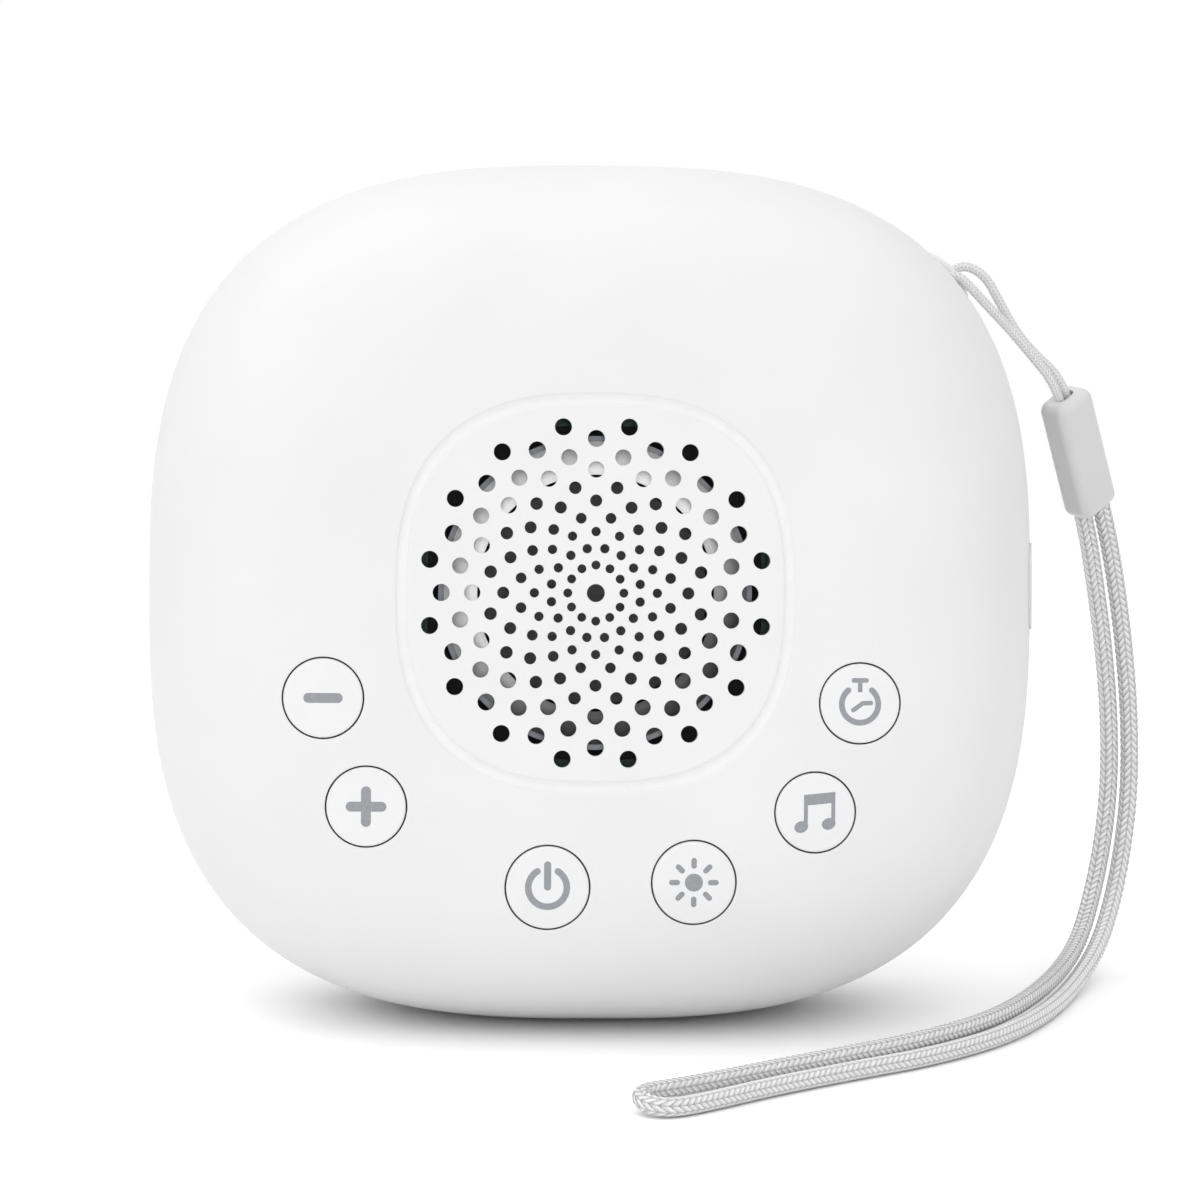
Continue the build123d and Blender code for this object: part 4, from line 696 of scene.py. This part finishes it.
def seen_directly(tree):
    """1 for rays that show the background: from the camera, or off or through the object."""
    path = tree.nodes.new("ShaderNodeLightPath")
    seen = path.outputs["Is Camera Ray"]
    for other in ("Is Glossy Ray", "Is Transmission Ray"):
        both = tree.nodes.new("ShaderNodeMath")
        both.operation = "MAXIMUM"
        tree.links.new(seen, both.inputs[0])
        tree.links.new(path.outputs[other], both.inputs[1])
        seen = both.outputs[0]
    return seen


def floor():
    """Pale floor that keeps the object's shadow and fades to white further out."""
    turns = np.arange(FLOOR_SIDES) * tau / FLOOR_SIDES
    points = np.column_stack([np.cos(turns), np.sin(turns), np.zeros(FLOOR_SIDES)]) * FLOOR_RADIUS
    piece = add_mesh("floor", points, [tuple(range(FLOOR_SIDES))])
    finish = bpy.data.materials.new("floor")
    finish.use_nodes = True
    tree = finish.node_tree
    tree.nodes.clear()
    output = tree.nodes.new("ShaderNodeOutputMaterial")
    lit = tree.nodes.new("ShaderNodeBsdfDiffuse")
    lit.inputs["Color"].default_value = (FLOOR_SHOWN, FLOOR_SHOWN, FLOOR_SHOWN, 1.0)
    white = tree.nodes.new("ShaderNodeEmission")
    bounce = tree.nodes.new("ShaderNodeBsdfDiffuse")
    bounce.inputs["Color"].default_value = (FLOOR_BOUNCE, FLOOR_BOUNCE, FLOOR_BOUNCE, 1.0)
    place = tree.nodes.new("ShaderNodeTexCoord")
    reach = tree.nodes.new("ShaderNodeVectorMath")
    reach.operation = "LENGTH"
    fade = tree.nodes.new("ShaderNodeMapRange")
    fade.interpolation_type = "SMOOTHSTEP"
    fade.inputs["From Min"].default_value = FADE_NEAR * MM
    fade.inputs["From Max"].default_value = FADE_FAR * MM
    shown = tree.nodes.new("ShaderNodeMixShader")
    chosen = tree.nodes.new("ShaderNodeMixShader")
    tree.links.new(place.outputs["Object"], reach.inputs[0])
    tree.links.new(reach.outputs["Value"], fade.inputs["Value"])
    tree.links.new(fade.outputs["Result"], shown.inputs["Fac"])
    tree.links.new(lit.outputs[0], shown.inputs[1])
    tree.links.new(white.outputs[0], shown.inputs[2])
    tree.links.new(seen_directly(tree), chosen.inputs["Fac"])
    tree.links.new(bounce.outputs[0], chosen.inputs[1])
    tree.links.new(shown.outputs[0], chosen.inputs[2])
    tree.links.new(chosen.outputs[0], output.inputs["Surface"])
    piece.data.materials.append(finish)


def dome_strength(tree):
    """Sum of the dome's soft lights in the direction that a ray goes."""
    direction = tree.nodes.new("ShaderNodeTexCoord").outputs["Generated"]
    total = None
    for towards, strength in DOME:
        facing = tree.nodes.new("ShaderNodeVectorMath")
        facing.operation = "DOT_PRODUCT"
        facing.inputs[1].default_value = towards
        lit = tree.nodes.new("ShaderNodeMath")
        lit.operation = "MAXIMUM"
        lit.inputs[1].default_value = 0.0
        scaled = tree.nodes.new("ShaderNodeMath")
        scaled.operation = "MULTIPLY"
        scaled.inputs[1].default_value = strength
        tree.links.new(direction, facing.inputs[0])
        tree.links.new(facing.outputs["Value"], lit.inputs[0])
        tree.links.new(lit.outputs[0], scaled.inputs[0])
        if total:
            added = tree.nodes.new("ShaderNodeMath")
            tree.links.new(total, added.inputs[0])
            tree.links.new(scaled.outputs[0], added.inputs[1])
            total = added.outputs[0]
        else:
            total = scaled.outputs[0]
    return total


def sky():
    """White where it is seen, and a soft dome where it lights."""
    world = bpy.data.worlds.new("studio")
    world.use_nodes = True
    bpy.context.scene.world = world
    tree = world.node_tree
    tree.nodes.clear()
    output = tree.nodes.new("ShaderNodeOutputWorld")
    seen = tree.nodes.new("ShaderNodeBackground")
    seen.inputs["Color"].default_value = colour(255)
    dome = tree.nodes.new("ShaderNodeBackground")
    chosen = tree.nodes.new("ShaderNodeMixShader")
    tree.links.new(dome_strength(tree), dome.inputs["Strength"])
    tree.links.new(seen_directly(tree), chosen.inputs["Fac"])
    tree.links.new(dome.outputs[0], chosen.inputs[1])
    tree.links.new(seen.outputs[0], chosen.inputs[2])
    tree.links.new(chosen.outputs[0], output.inputs["Surface"])


def rim_lights():
    """Two weak square soft boxes above and behind the case, which point at its middle."""
    middle = Vector((0, 0, CENTRE_HEIGHT)) * MM
    for name, place, power in RIM_LIGHTS:
        data = bpy.data.lights.new(name, "AREA")
        data.size = RIM_SIZE * MM
        data.energy = power
        lamp = bpy.data.objects.new(name, data)
        bpy.context.scene.collection.objects.link(lamp)
        lamp.location = Vector(place) * MM
        lamp.rotation_euler = (middle - lamp.location).to_track_quat("-Z", "Y").to_euler()


def camera():
    """Long lens, a little above and to the left of the face."""
    turn, rise, roll = radians(CAMERA_AZIMUTH), radians(CAMERA_ELEVATION), radians(CAMERA_ROLL)
    ahead = Vector((-sin(turn) * cos(rise), cos(turn) * cos(rise), -sin(rise)))
    level = ahead.cross((0, 0, 1)).normalized()
    above = level.cross(ahead)
    right = level * cos(roll) + above * sin(roll)
    up = above * cos(roll) - level * sin(roll)
    middle = Vector(in_case(0, 0, 0))
    aim = middle + right * AIM_RIGHT - up * AIM_DOWN
    place = (aim - ahead * CAMERA_DISTANCE) * MM
    data = bpy.data.cameras.new("camera")
    data.lens = LENS
    data.sensor_width = SENSOR
    data.clip_start = CLIP_NEAR * MM
    data.clip_end = CLIP_FAR * MM
    eye = bpy.data.objects.new("camera", data)
    bpy.context.scene.collection.objects.link(eye)
    turned = Matrix((right, up, -ahead)).transposed().to_4x4()
    eye.matrix_world = Matrix.Translation(place) @ turned
    bpy.context.scene.camera = eye


# ---------------------------------------------------------------- everything
bpy.context.scene.view_settings.view_transform = "Standard"
camera()
strap()
groove_ring()
dress_nodes()
floor()
sky()
rim_lights()
